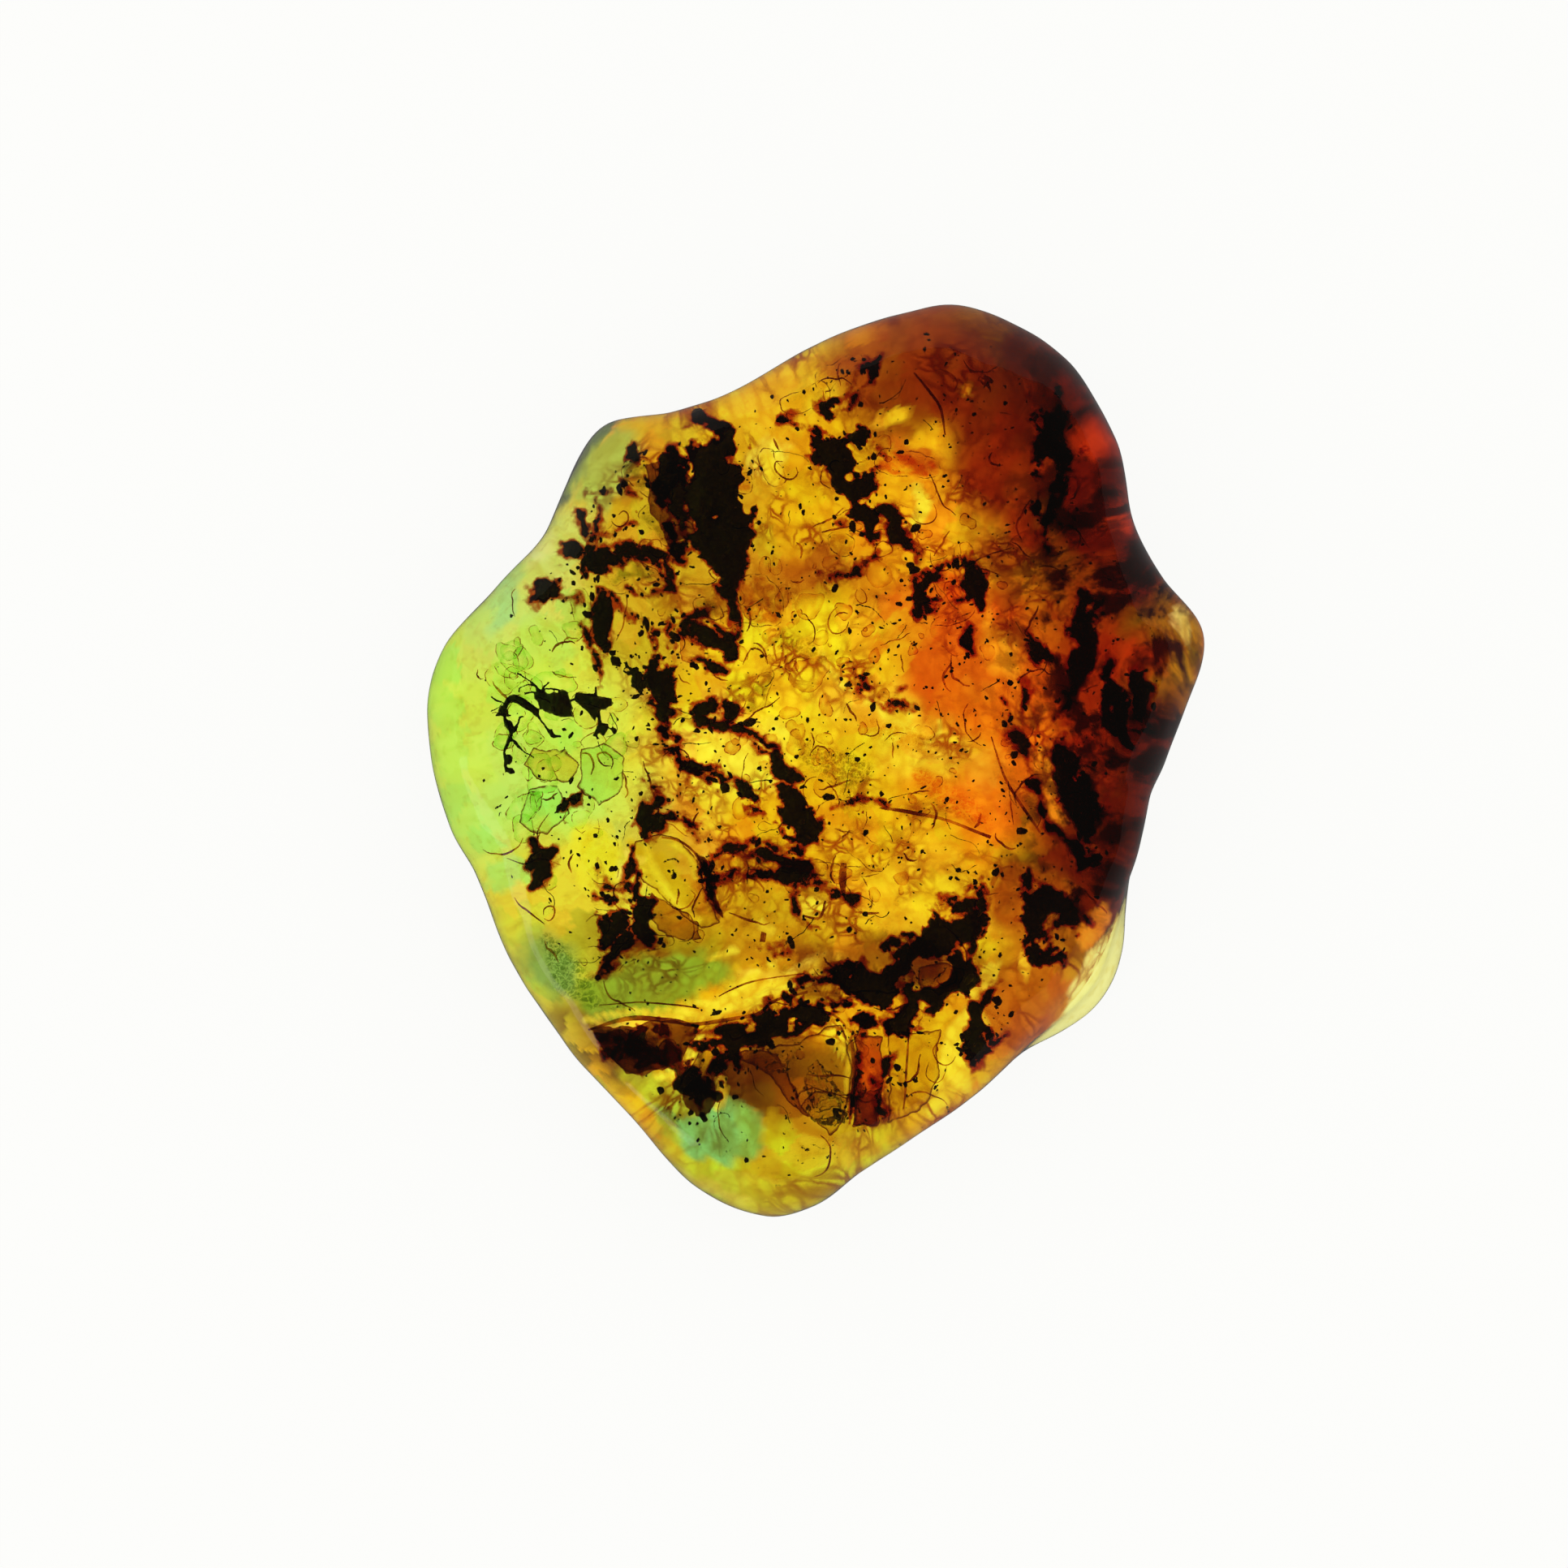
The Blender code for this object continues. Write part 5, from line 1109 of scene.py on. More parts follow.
def torn_outline(strands, seed, step, reach=0.0):
    """The torn outline of the strands, drawn out by reach, as flat places and faces."""
    points = np.array([point for run in strands for point in run])
    margin = points[:, 2].max() + TEAR_MARGIN + reach
    low = points[:, :2].min(axis=0) - margin
    high = points[:, :2].max(axis=0) + margin
    xs = np.arange(low[0], high[0], step)
    ys = np.arange(low[1], high[1], step)
    x, y = np.meshgrid(xs, ys, indexing="ij")
    return march(torn_field(strands, x, y, seed) + reach, xs, ys)


def slim(strands):
    """The strands drawn in, to leave room for the torn edge that strays outward."""
    return [[(x, y, half_width * CORE) for x, y, half_width in run] for run in strands]


def build_litter_piece(name, height, flatness, solid_strands, seed, material):
    strands = slim(solid_strands) + LITTER_BRANCHES.get(name, [])
    places, faces = torn_outline(strands, seed, LITTER_STEP)
    start = Vector(strands[0][0][:2])
    along = Vector(strands[0][-1][:2]) - start
    lean = STRAND_TILT * (1 if seed % 2 else -1)
    widest = max(half_width for run in solid_strands for _, _, half_width in run)
    flat_x, flat_y, _ = np.array(places).T
    grain = cloud(flat_x, flat_y, FACE_GRAIN_SIZE, seed + 20, 3)
    grooves = {(x, y): groove for (x, y, _), groove in zip(places, grain)}

    def rise(px, py, depth):
        share = (Vector((px, py)) - start).dot(along) / along.length_squared
        middle = height + (share - 0.5) * along.length * lean
        thick = flatness * math.sqrt(max(depth, 0.0) * widest) * (1 + FACE_GRAIN * grooves[(px, py)])
        return middle + thick, middle - thick

    verts, closed = sheet_between(places, faces, rise)
    piece = new_piece(name + "_torn", sunk(verts), closed, material)
    add_depths(piece, sheet_depths(places))
    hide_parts(name)
    return piece


def build_stains(material):
    """Thin films of stained resin round the torn edges, all in one piece."""
    parts = []
    depths = []
    for seed, (name, (height, _, solid_strands)) in enumerate(LITTER.items()):
        if name in ("leaf_frond", "wedge_chip"):
            continue
        strands = slim(solid_strands) + LITTER_BRANCHES.get(name, [])
        places, faces = torn_outline(strands, seed + 1, STAIN_STEP, STAIN_REACH)

        def rise(_, __, depth):
            thick = STAIN_HALF_THICKNESS * min(1.0, depth / STAIN_TAPER)
            return height + thick, height - thick

        parts.append(sheet_between(places, faces, rise))
        depths += sheet_depths(places)
    verts, faces = join_parts(parts)
    piece = new_piece("stained_resin", sunk(verts), faces, material)
    add_depths(piece, depths)


def flat_outline(shape, seed):
    """A smooth-edged outline round strands or corners, for lenses and films."""
    if isinstance(shape[0], list):
        points = np.array([point for run in shape for point in run])
        margin = points[:, 2].max() + LENS_MARGIN
    else:
        points = np.array(shape)
        margin = LENS_MARGIN
    xs = np.arange(points[:, 0].min() - margin, points[:, 0].max() + margin, LENS_STEP)
    ys = np.arange(points[:, 1].min() - margin, points[:, 1].max() + margin, LENS_STEP)
    x, y = np.meshgrid(xs, ys, indexing="ij")
    return march(shape_field(shape, x, y) + LENS_TEAR * cloud(x, y, LENS_TEAR_SIZE, seed, 3), xs, ys)


def build_lenses(name, table, material):
    """Thin sheets of other resin, all in one piece, each with its own colour."""
    parts = []
    depths = []
    colours = []
    for seed, (height, colour, shape) in enumerate(table.values()):
        places, faces = flat_outline(shape, seed + 60)

        def rise(_, __, depth):
            thick = LENS_SWELL * math.sqrt(depth) + LENS_EDGE
            return (height + thick, height - thick) if depth > 0 else (height, height)

        parts.append(sheet_between(places, faces, rise))
        depths += sheet_depths(places)
        colours += [(*colour, 1.0)] * (len(depths) - len(colours))
    verts, faces = join_parts(parts)
    piece = new_piece(name, sunk(verts), faces, material)
    add_depths(piece, depths)
    layer = piece.data.attributes.new("lens_colour", "FLOAT_COLOR", "POINT")
    layer.data.foreach_set("color", [part for colour in colours for part in colour])


def random_cells():
    """Rounded cells of resin strewn over the fields of cells, as rows of the table of lenses."""
    rng = np.random.default_rng(21)
    cells = {}
    for count, middle, spread, usual_size, pale, deep in CELL_FIELDS.values():
        wanted = len(cells) + count
        while len(cells) < wanted:
            x, y = rng.normal(middle, spread)
            if rim_share(x, y) > WIDEST_CELL:
                continue
            size = varied(rng, usual_size, CELL_SPREAD, 1.0)
            turn = rng.uniform(0, math.pi)
            far = (x + size * math.cos(turn), y + size * math.sin(turn), size * rng.uniform(0.5, 1.0))
            colour = tuple(np.array(pale) + rng.uniform(0, 1) * (np.array(deep) - pale))
            cells[len(cells)] = (rng.uniform(*CELL_HEIGHTS), colour, [[(x, y, size), far]])
    return cells


def build_litter(bark, leaf, chip, smoke):
    finishes = {
        "leaf_frond": (leaf, "leaf"),
        "wedge_chip": (chip, "resin_chip"),
        "brown_flake": (smoke, "bark"),
    }
    for seed, (name, (height, flatness, strands)) in enumerate(LITTER.items()):
        material, slot = finishes.get(name, (bark, "bark"))
        build_litter_piece(name, height, flatness, strands, seed + 1, material)


# The insect.

def limb_rings(run, around):
    """Points and faces of a closed tube along (x, y, z, half width) samples."""
    verts = []
    faces = []
    for k, (x, y, z, half_width) in enumerate(run):
        before = Vector(run[max(k - 1, 0)][:3])
        after = Vector(run[min(k + 1, len(run) - 1)][:3])
        along = (after - before).normalized()
        side = along.cross(Vector((0, 0, 1)))
        if side.length < 0.1:
            side = Vector((1, 0, 0))
        side.normalize()
        up = side.cross(along)
        for corner in range(around):
            turn = 2 * math.pi * corner / around
            verts.append(Vector((x, y, z)) + half_width * (math.cos(turn) * side + math.sin(turn) * up))
    for k in range(len(run) - 1):
        for corner in range(around):
            following = (corner + 1) % around
            faces.append((
                k * around + corner, k * around + following,
                (k + 1) * around + following, (k + 1) * around + corner,
            ))
    faces.append(tuple(reversed(range(around))))
    faces.append(tuple(range((len(run) - 1) * around, len(run) * around)))
    return verts, faces


def join_parts(parts):
    """One list of points and one of faces from several."""
    verts = []
    faces = []
    for part_verts, part_faces in parts:
        shift = len(verts)
        verts += part_verts
        faces += [tuple(index + shift for index in face) for face in part_faces]
    return verts, faces


def body_part(middle, half_lengths, turn):
    shape = bmesh.new()
    bmesh.ops.create_icosphere(shape, subdivisions=4, radius=1.0)
    turned = math.radians(turn)
    verts = []
    for vertex in shape.verts:
        ring = 1 + BODY_RINGS * math.sin(vertex.co.x * RING_PITCH)
        x = vertex.co.x * half_lengths[0]
        y = vertex.co.y * half_lengths[1] * ring
        verts.append(Vector((
            middle[0] + x * math.cos(turned) - y * math.sin(turned),
            middle[1] + x * math.sin(turned) + y * math.cos(turned),
            INSECT_LEVEL + middle[2] + vertex.co.z * half_lengths[2] * ring,
        )))
    faces = [tuple(vertex.index for vertex in face.verts) for face in shape.faces]
    shape.free()
    return verts, faces


def prism(outline, level, half_thickness):
    """A flat closed plate from the corners of its outline."""
    count = len(outline)
    verts = [(x, y, level + side * half_thickness) for side in (-1, 1) for x, y in outline]
    faces = [tuple(reversed(range(count))), tuple(range(count, 2 * count))]
    for k in range(count):
        following = (k + 1) % count
        faces.append((k, following, count + following, count + k))
    return verts, faces


def build_insect(material):
    parts = [body_part(*part) for part in INSECT_BODY.values()]
    for half_thickness, outline in INSECT_PLATES.values():
        parts.append(prism(outline, INSECT_LEVEL + 0.05, half_thickness))
    for run in INSECT_LIMBS.values():
        raised = [(x, y, INSECT_LEVEL + z, half_width) for x, y, z, half_width in run]
        parts.append(limb_rings(smooth_run(raised, 6 * len(run)), LIMB_ROUND))
    verts, faces = join_parts(parts)
    piece = new_piece("insect_form", sunk(verts), faces, material)
    skin = piece.modifiers.new("skin", "REMESH")
    skin.mode = "VOXEL"
    skin.voxel_size = INSECT_VOXEL * MM
    bpy.context.view_layer.update()
    fused = bpy.data.meshes.new_from_object(piece.evaluated_get(bpy.context.evaluated_depsgraph_get()))
    piece.modifiers.clear()
    piece.data = fused
    for vertex in fused.vertices:
        place = vertex.co / MM
        vertex.co += noise.noise_vector(place / CHITIN_GRAIN_SIZE) * CHITIN_GRAIN * MM
    fused.shade_smooth()
    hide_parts("insect")


# Specks, crumbs and hairs: a few joined pieces.

def rim_share(x, y):
    """How far out a place lies, 0 in the middle and 1 at the rim."""
    return math.hypot(x, y) / rim_distance(math.degrees(math.atan2(y, x)))


def place_inside(rng, low=1.0, below_crown=2.0, widest=0.93):
    """A random place in the resin, away from its skin."""
    while True:
        x, y = rng.uniform(-HALF_WIDTH, HALF_WIDTH), rng.uniform(-HALF_LENGTH, HALF_LENGTH)
        if rim_share(x, y) > widest:
            continue
        ceiling = float(crown_heights(np.array([x]), np.array([y]))[0]) - below_crown
        if ceiling > low:
            return x, y, rng.uniform(low, ceiling)


def ball(subdivisions):
    shape = bmesh.new()
    bmesh.ops.create_icosphere(shape, subdivisions=subdivisions, radius=1.0)
    verts = [vertex.co.copy() for vertex in shape.verts]
    faces = [tuple(vertex.index for vertex in face.verts) for face in shape.faces]
    shape.free()
    return verts, faces


def varied(rng, usual, spread, largest):
    """A random size about the usual one, and never above the largest."""
    return min(largest, usual * math.exp(rng.normal(0, spread)))


def crumb(rng, form, place, size, flat=0.6):
    """A lumpy bit of size about a place, drawn out and turned at random."""
    verts, faces = form
    turn = rng.uniform(0, math.pi)
    long = rng.uniform(1.0, 1.45)
    across, along = Vector((math.cos(turn), math.sin(turn), 0)), Vector((-math.sin(turn), math.cos(turn), 0))
    moved = []
    for vertex in verts:
        lump = size * rng.uniform(0.65, 1.2)
        side = across * vertex.x * lump / long + along * vertex.y * lump * long
        moved.append(Vector(place) + side + Vector((0, 0, vertex.z * lump * flat)))
    return moved, faces


def build_specks(material):
    """Fine dust all through the resin, thickest in the middle."""
    rng = np.random.default_rng(11)
    form = ball(1)
    parts = []
    while len(parts) < SPECK_COUNT:
        x, y, z = place_inside(rng)
        if rng.uniform() > (CLEAR_SHARE if x < CLEAR_OF_SPECKS else 1.0):
            continue
        parts.append(crumb(rng, form, (x, y, z), varied(rng, *SPECK_SIZE)))
    verts, faces = join_parts(parts)
    new_piece("specks", sunk(verts), faces, material)


def build_crumbs(material):
    """Satellite crumbs, strewn along the strands of the litter."""
    rng = np.random.default_rng(12)
    form = ball(1)
    parts = []
    for name, (height, _, solid_strands) in LITTER.items():
        for run in solid_strands + LITTER_BRANCHES.get(name, []):
            samples = smooth_run(run, 12)
            for _ in range(CRUMBS_PER_STRAND):
                x, y, half_width = samples[rng.integers(len(samples))]
                away = half_width + rng.exponential(CRUMB_STRAY)
                turn = rng.uniform(0, 2 * math.pi)
                x += away * math.cos(turn)
                y += away * math.sin(turn)
                if rim_share(x, y) > WIDEST_SHARE:
                    continue
                size = varied(rng, *CRUMB_SIZE)
                z = height + rng.uniform(-CRUMB_DEPTH, CRUMB_DEPTH)
                parts.append(crumb(rng, form, (x, y, z), size, 0.5))
    verts, faces = join_parts(parts)
    new_piece("crumbs", sunk(verts), faces, material)


def hair(rng, x, y, z, length, thickness):
    """A fine curved hair that starts at a place and wanders."""
    heading = rng.uniform(0, 2 * math.pi)
    bend = rng.normal(0, 0.9) / length
    step = length / HAIR_STEPS
    run = []
    for k in range(HAIR_STEPS + 1):
        run.append((x, y, z, thickness * (1 - 0.6 * k / HAIR_STEPS)))
        x += step * math.cos(heading)
        y += step * math.sin(heading)
        z += rng.normal(0, 0.02)
        heading += bend * step + rng.normal(0, 0.22)
    return limb_rings(run, 5)


def build_hairs(material):
    rng = np.random.default_rng(13)
    parts = []
    for _ in range(HAIR_COUNT):
        x, y, z = place_inside(rng, 3.0, 2.5, 0.86)
        parts.append(hair(rng, x, y, z, rng.uniform(*HAIR_LENGTH), rng.uniform(*HAIR_WIDTH)))
    verts, faces = join_parts(parts)
    new_piece("hairs", sunk(verts), faces, material)


def build_seams_and_fold_shade(material):
    """Fine dark lines: the listed ones, painted shade along folds and stained seams, and many more stained
    seams at random between small flows of resin.
    """
    rng = np.random.default_rng(14)
    runs = [[(x, y, SEAM_AND_FOLD_SHADE_HEIGHT, half_width) for x, y, half_width in run] for run in SEAMS_AND_FOLD_SHADE]
    while len(runs) < SEAM_COUNT:
        x, y, z = place_inside(rng, 4.0, 2.0, 0.9)
        heading = rng.uniform(0, 2 * math.pi)
        bend = rng.normal(0, 1.1)
        step = rng.uniform(*SEAM_LENGTH) / SEAM_STEPS
        widest = rng.uniform(*SEAM_WIDTH)
        run = []
        for k in range(SEAM_STEPS + 1):
            run.append((x, y, z, widest * (0.3 + math.sin(math.pi * (k + 0.5) / (SEAM_STEPS + 1)))))
            x += step * math.cos(heading)
            y += step * math.sin(heading)
            heading += bend * step + rng.normal(0, 0.25)
        runs.append(run)
    verts, faces = join_parts([limb_rings(smooth_run(run, 5 * len(run)), 6) for run in runs])
    new_piece("resin_seams_and_fold_shade", sunk(verts), faces, material)


# Flow films: thin closed sheets of resin between one flow and the next.

def build_flow_film(name, level, inset, wave, material):
    around, rings = FILM_GRID
    top = []
    bottom = []
    for ring in range(1, rings + 1):
        for k in range(around):
            bearing = 360 * k / around
            reach = (rim_distance(bearing) - inset) * ring / rings
            x = reach * math.cos(math.radians(bearing))
            y = reach * math.sin(math.radians(bearing))
            rise = noise.noise(Vector((x, y, level)) / FILM_WAVE_SIZE) * wave * (1 - (ring / rings) ** 4)
            top.append((x, y, level + rise + FILM_HALF_THICKNESS))
            bottom.append((x, y, level + rise - FILM_HALF_THICKNESS))
    middle = level + noise.noise(Vector((0, 0, level)) / FILM_WAVE_SIZE) * wave
    verts = top + bottom + [(0, 0, middle + FILM_HALF_THICKNESS), (0, 0, middle - FILM_HALF_THICKNESS)]
    shift = len(top)
    faces = []
    for k in range(around):
        following = (k + 1) % around
        faces.append((2 * shift, k, following))
        faces.append((2 * shift + 1, shift + following, shift + k))
        for ring in range(rings - 1):
            low = ring * around
            faces.append((low + k, low + around + k, low + around + following, low + following))
            faces.append((
                shift + low + following, shift + low + around + following,
                shift + low + around + k, shift + low + k,
            ))
        edge = (rings - 1) * around
        faces.append((edge + k, shift + edge + k, shift + edge + following, edge + following))
    piece = new_piece(name, verts, faces, material)


# Materials.

CLEAR = (1.0, 1.0, 1.0, 1.0)


def feed(tree, value, socket):
    if isinstance(value, bpy.types.NodeSocket):
        tree.links.new(value, socket)
    else:
        socket.default_value = value


def add_node(tree, kind, inputs=None, **settings):
    made = tree.nodes.new(kind)
    for key, value in settings.items():
        setattr(made, key, value)
    for socket, value in (inputs or {}).items():
        feed(tree, value, made.inputs[socket])
    return made


def maths(tree, operation, *values):
    made = add_node(tree, "ShaderNodeMath", dict(enumerate(values)), operation=operation)
    return made.outputs[0]


def vector_maths(tree, operation, *values):
    made = add_node(tree, "ShaderNodeVectorMath", dict(enumerate(values)), operation=operation)
    return made.outputs["Value" if operation in ("LENGTH", "DISTANCE") else "Vector"]


def rise_between(tree, value, low, high, top=1.0):
    """0 below low and top above high, with a smooth rise between. High may be the smaller."""
    made = add_node(
        tree,
        "ShaderNodeMapRange",
        {"Value": value, "From Min": low, "From Max": high, "To Min": 0.0, "To Max": top},
        interpolation_type="SMOOTHSTEP",
    )
    return made.outputs["Result"]


def mix_colours(tree, factor, first, second, blend="MIX"):
    sockets = {0: factor, 6: first, 7: second}
    made = add_node(tree, "ShaderNodeMix", sockets, data_type="RGBA", blend_type=blend)
    return made.outputs[2]


def new_group(name, inputs, outputs):
    """A node group with the named sockets, and its input and output nodes."""
    tree = bpy.data.node_groups.new(name, "ShaderNodeTree")
    for label, kind, value in inputs:
        socket = tree.interface.new_socket(label, in_out="INPUT", socket_type=kind)
        if value is not None:
            socket.default_value = value
    for label, kind in outputs:
        tree.interface.new_socket(label, in_out="OUTPUT", socket_type=kind)
    return tree, tree.nodes.new("NodeGroupInput"), tree.nodes.new("NodeGroupOutput")


def millimetre_place_group():
    """Where a point of the object lies, in millimetres."""
    tree, _, out = new_group("place in millimetres", [], [("Place", "NodeSocketVector")])
    place = tree.nodes.new("ShaderNodeTexCoord").outputs["Object"]
    scaled = vector_maths(tree, "SCALE", place)
    scaled.node.inputs["Scale"].default_value = 1 / MM
    feed(tree, scaled, out.inputs["Place"])
    return tree


def drift_group():
    """Moves places about by a smooth noise, so that borders and patterns wander."""
    tree, given, out = new_group(
        "drift",
        [
            ("Place", "NodeSocketVector", None),
            ("Size", "NodeSocketFloat", 5.0),
            ("Reach", "NodeSocketFloat", 1.0),
        ],
        [("Place", "NodeSocketVector")],
    )
    frequency = maths(tree, "DIVIDE", 1.0, given.outputs["Size"])
    waves = add_node(
        tree, "ShaderNodeTexNoise", {"Vector": given.outputs["Place"], "Scale": frequency, "Detail": 2.5}
    )
    centred = vector_maths(tree, "SUBTRACT", waves.outputs["Color"], (0.5, 0.5, 0.5))
    moved = vector_maths(tree, "SCALE", centred)
    feed(tree, maths(tree, "MULTIPLY", given.outputs["Reach"], 2.0), moved.node.inputs["Scale"])
    feed(tree, vector_maths(tree, "ADD", given.outputs["Place"], moved), out.inputs["Place"])
    return tree


def flow_cells_group():
    """Rounded cells where small flows of resin met: a line along their borders, and a tint for each."""
    tree, given, out = new_group(
        "flow cells",
        [
            ("Place", "NodeSocketVector", None),
            ("Size", "NodeSocketFloat", 1.5),
            ("Line", "NodeSocketFloat", 0.06),
        ],
        [("Border", "NodeSocketFloat"), ("Tint", "NodeSocketFloat"), ("Outward", "NodeSocketFloat")],
    )
    frequency = maths(tree, "DIVIDE", 1.0, given.outputs["Size"])
    sockets = {"Vector": given.outputs["Place"], "Scale": frequency}
    borders = add_node(tree, "ShaderNodeTexVoronoi", sockets, feature="DISTANCE_TO_EDGE")
    cells = add_node(tree, "ShaderNodeTexVoronoi", sockets, feature="F1")
    line = add_node(
        tree,
        "ShaderNodeMapRange",
        {"Value": borders.outputs["Distance"], "From Min": given.outputs["Line"], "From Max": 0.0},
        interpolation_type="SMOOTHSTEP",
    )
    feed(tree, line.outputs["Result"], out.inputs["Border"])
    feed(tree, cells.outputs["Distance"], out.inputs["Outward"])
    tint = add_node(tree, "ShaderNodeSeparateColor", {"Color": cells.outputs["Color"]})
    feed(tree, tint.outputs[0], out.inputs["Tint"])
    return tree


class Finish:
    """A material with its shader, and the shared groups placed in it."""

    def __init__(self, name, groups):
        self.material = bpy.data.materials.new(name)
        self.material.use_nodes = True
        self.tree = self.material.node_tree
        self.shader = self.tree.nodes["Principled BSDF"]
        self.output = self.tree.nodes["Material Output"]
        self.groups = groups
        self.place = self.effect("place", {})["Place"]

    def effect(self, name, inputs):
        made = self.tree.nodes.new("ShaderNodeGroup")
        made.node_tree = self.groups[name]
        for socket, value in inputs.items():
            feed(self.tree, value, made.inputs[socket])
        return made.outputs

    def set(self, **values):
        for socket, value in values.items():
            feed(self.tree, value, self.shader.inputs[socket.replace("_", " ")])

    def bump(self, height, distance, strength=1.0):
        made = add_node(
            self.tree, "ShaderNodeBump", {"Height": height, "Distance": distance * MM, "Strength": strength}
        )
        feed(self.tree, made.outputs["Normal"], self.shader.inputs["Normal"])

    def noise(self, size, detail, roughness=0.55):
        """A smooth noise of a size in millimetres, from 0 to 1."""
        sockets = {"Vector": self.place, "Scale": 1.0 / size, "Detail": detail, "Roughness": roughness}
        return add_node(self.tree, "ShaderNodeTexNoise", sockets, normalize=True).outputs["Fac"]

    def kept(self, name):
        """The number or colour that the piece keeps for each of its points under a name."""
        return add_node(self.tree, "ShaderNodeAttribute", attribute_name=name).outputs

    def tint_only(self, colour):
        """Colours the light that passes and doesn't bend it, for films inside the resin."""
        self.set(Base_Color=colour, Roughness=0.0, IOR=1.0, Transmission_Weight=1.0)
        return self.material

    def absorb(self, colour, density):
        made = self.tree.nodes.new("ShaderNodeVolumeAbsorption")
        made.inputs["Color"].default_value = (*colour, 1.0)
        made.inputs["Density"].default_value = density
        feed(self.tree, made.outputs["Volume"], self.output.inputs["Volume"])


def amber_finish(groups):
    finish = Finish("amber_resin", groups)
    tree = finish.tree
    own = finish.kept("resin_colour")["Color"]
    mottle = finish.noise(0.7, 4.0)
    shade = rise_between(tree, mottle, 0.50, 0.66)
    colour = mix_colours(tree, shade, own, (0.88, 0.80, 0.62, 1.0), "MULTIPLY")
    finish.set(Base_Color=colour, Roughness=0.02, IOR=1.54, Transmission_Weight=1.0)
    finish.set(Specular_Tint=(0.80, 0.70, 0.60, 1.0))
    haze = finish.noise(0.9, 4.0)
    finish.bump(haze, 0.006)
    finish.absorb((1.0, 0.97, 0.45), 45.0)
    return finish.material


def stain_finish(groups):
    """Resin stained red-brown, darkest against the bark."""
    finish = Finish("stained_resin", groups)
    tree = finish.tree
    depth = finish.kept("edge_depth")["Fac"]
    mottle = finish.noise(0.5, 4.0)
    strayed = maths(tree, "ADD", depth, maths(tree, "MULTIPLY_ADD", mottle, 0.5, -0.25))
    amount = rise_between(tree, strayed, 0.0, STAIN_REACH)
    colour = mix_colours(tree, amount, CLEAR, (0.42, 0.06, 0.006, 1.0))
    return finish.tint_only(colour)


def lens_finish(groups, name, full_tint, edge, rim_width, whole_rim):
    """Other resin with a thin stained rim: its own colour, full where the mottle is below full_tint."""
    finish = Finish(name, groups)
    tree = finish.tree
    depth = finish.kept("edge_depth")["Fac"]
    own = finish.kept("lens_colour")["Color"]
    mottle = finish.noise(0.7, 4.0)
    tinted = rise_between(tree, mottle, full_tint + 0.28, full_tint)
    amount = maths(tree, "MULTIPLY", tinted, rise_between(tree, depth, 0.0, edge))
    colour = mix_colours(tree, amount, CLEAR, own)
    rim = rise_between(tree, depth, rim_width, 0.02)
    patchy_rim = maths(tree, "MULTIPLY", rim, rise_between(tree, mottle, whole_rim, whole_rim + 0.14))
    colour = mix_colours(tree, patchy_rim, colour, (0.20, 0.04, 0.006, 1.0))
    return finish.tint_only(colour)


def cell_finish(groups):
    """A small cell of resin: hardly tinted, darker towards its rim as painted shade that makes it look
    rounded, with a fine stained rim that is broken in places.
    """
    finish = Finish("resin_cell", groups)
    tree = finish.tree
    depth = finish.kept("edge_depth")["Fac"]
    own = finish.kept("lens_colour")["Color"]
    broken = finish.noise(0.6, 2.0)
    # painted shade: the cell's colour only near its edge
    shade = maths(tree, "MULTIPLY", rise_between(tree, depth, 0.5, 0.0), rise_between(tree, depth, 0.0, 0.05))
    colour = mix_colours(tree, shade, CLEAR, own)
    whole = rise_between(tree, broken, 0.44, 0.58)
    rim = maths(tree, "MULTIPLY", rise_between(tree, depth, 0.07, 0.02), whole)
    colour = mix_colours(tree, rim, colour, (0.35, 0.08, 0.01, 1.0))
    return finish.tint_only(colour)


# brown lines: stained seams, and painted shade along the folds
def seam_and_fold_shade_finish(groups):
    finish = Finish("seam_and_fold_shade", groups)
    mottle = finish.noise(1.1, 3.0)
    amount = rise_between(finish.tree, mottle, 0.62, 0.42)
    colour = mix_colours(finish.tree, amount, (0.60, 0.30, 0.06, 1.0), (0.16, 0.03, 0.005, 1.0))
    return finish.tint_only(colour)


def crinkle_finish(groups):
    """A wrinkled film: a tinted ground with a net of clear lines."""
    finish = Finish("crinkled_film", groups)
    tree = finish.tree
    depth = finish.kept("edge_depth")["Fac"]
    own = finish.kept("lens_colour")["Color"]
    bent = finish.effect("drift", {"Place": finish.place, "Size": 0.35, "Reach": 0.22})["Place"]
    fine = finish.effect("flow cells", {"Place": bent, "Size": 0.32, "Line": 0.16})["Border"]
    coarse = finish.effect("flow cells", {"Place": bent, "Size": 0.8, "Line": 0.12})["Border"]
    lines = maths(tree, "MAXIMUM", fine, coarse)
    ground = maths(tree, "MULTIPLY", maths(tree, "SUBTRACT", 1.0, lines), rise_between(tree, depth, 0.0, 0.5))
    colour = mix_colours(tree, ground, CLEAR, own)
    return finish.tint_only(colour)


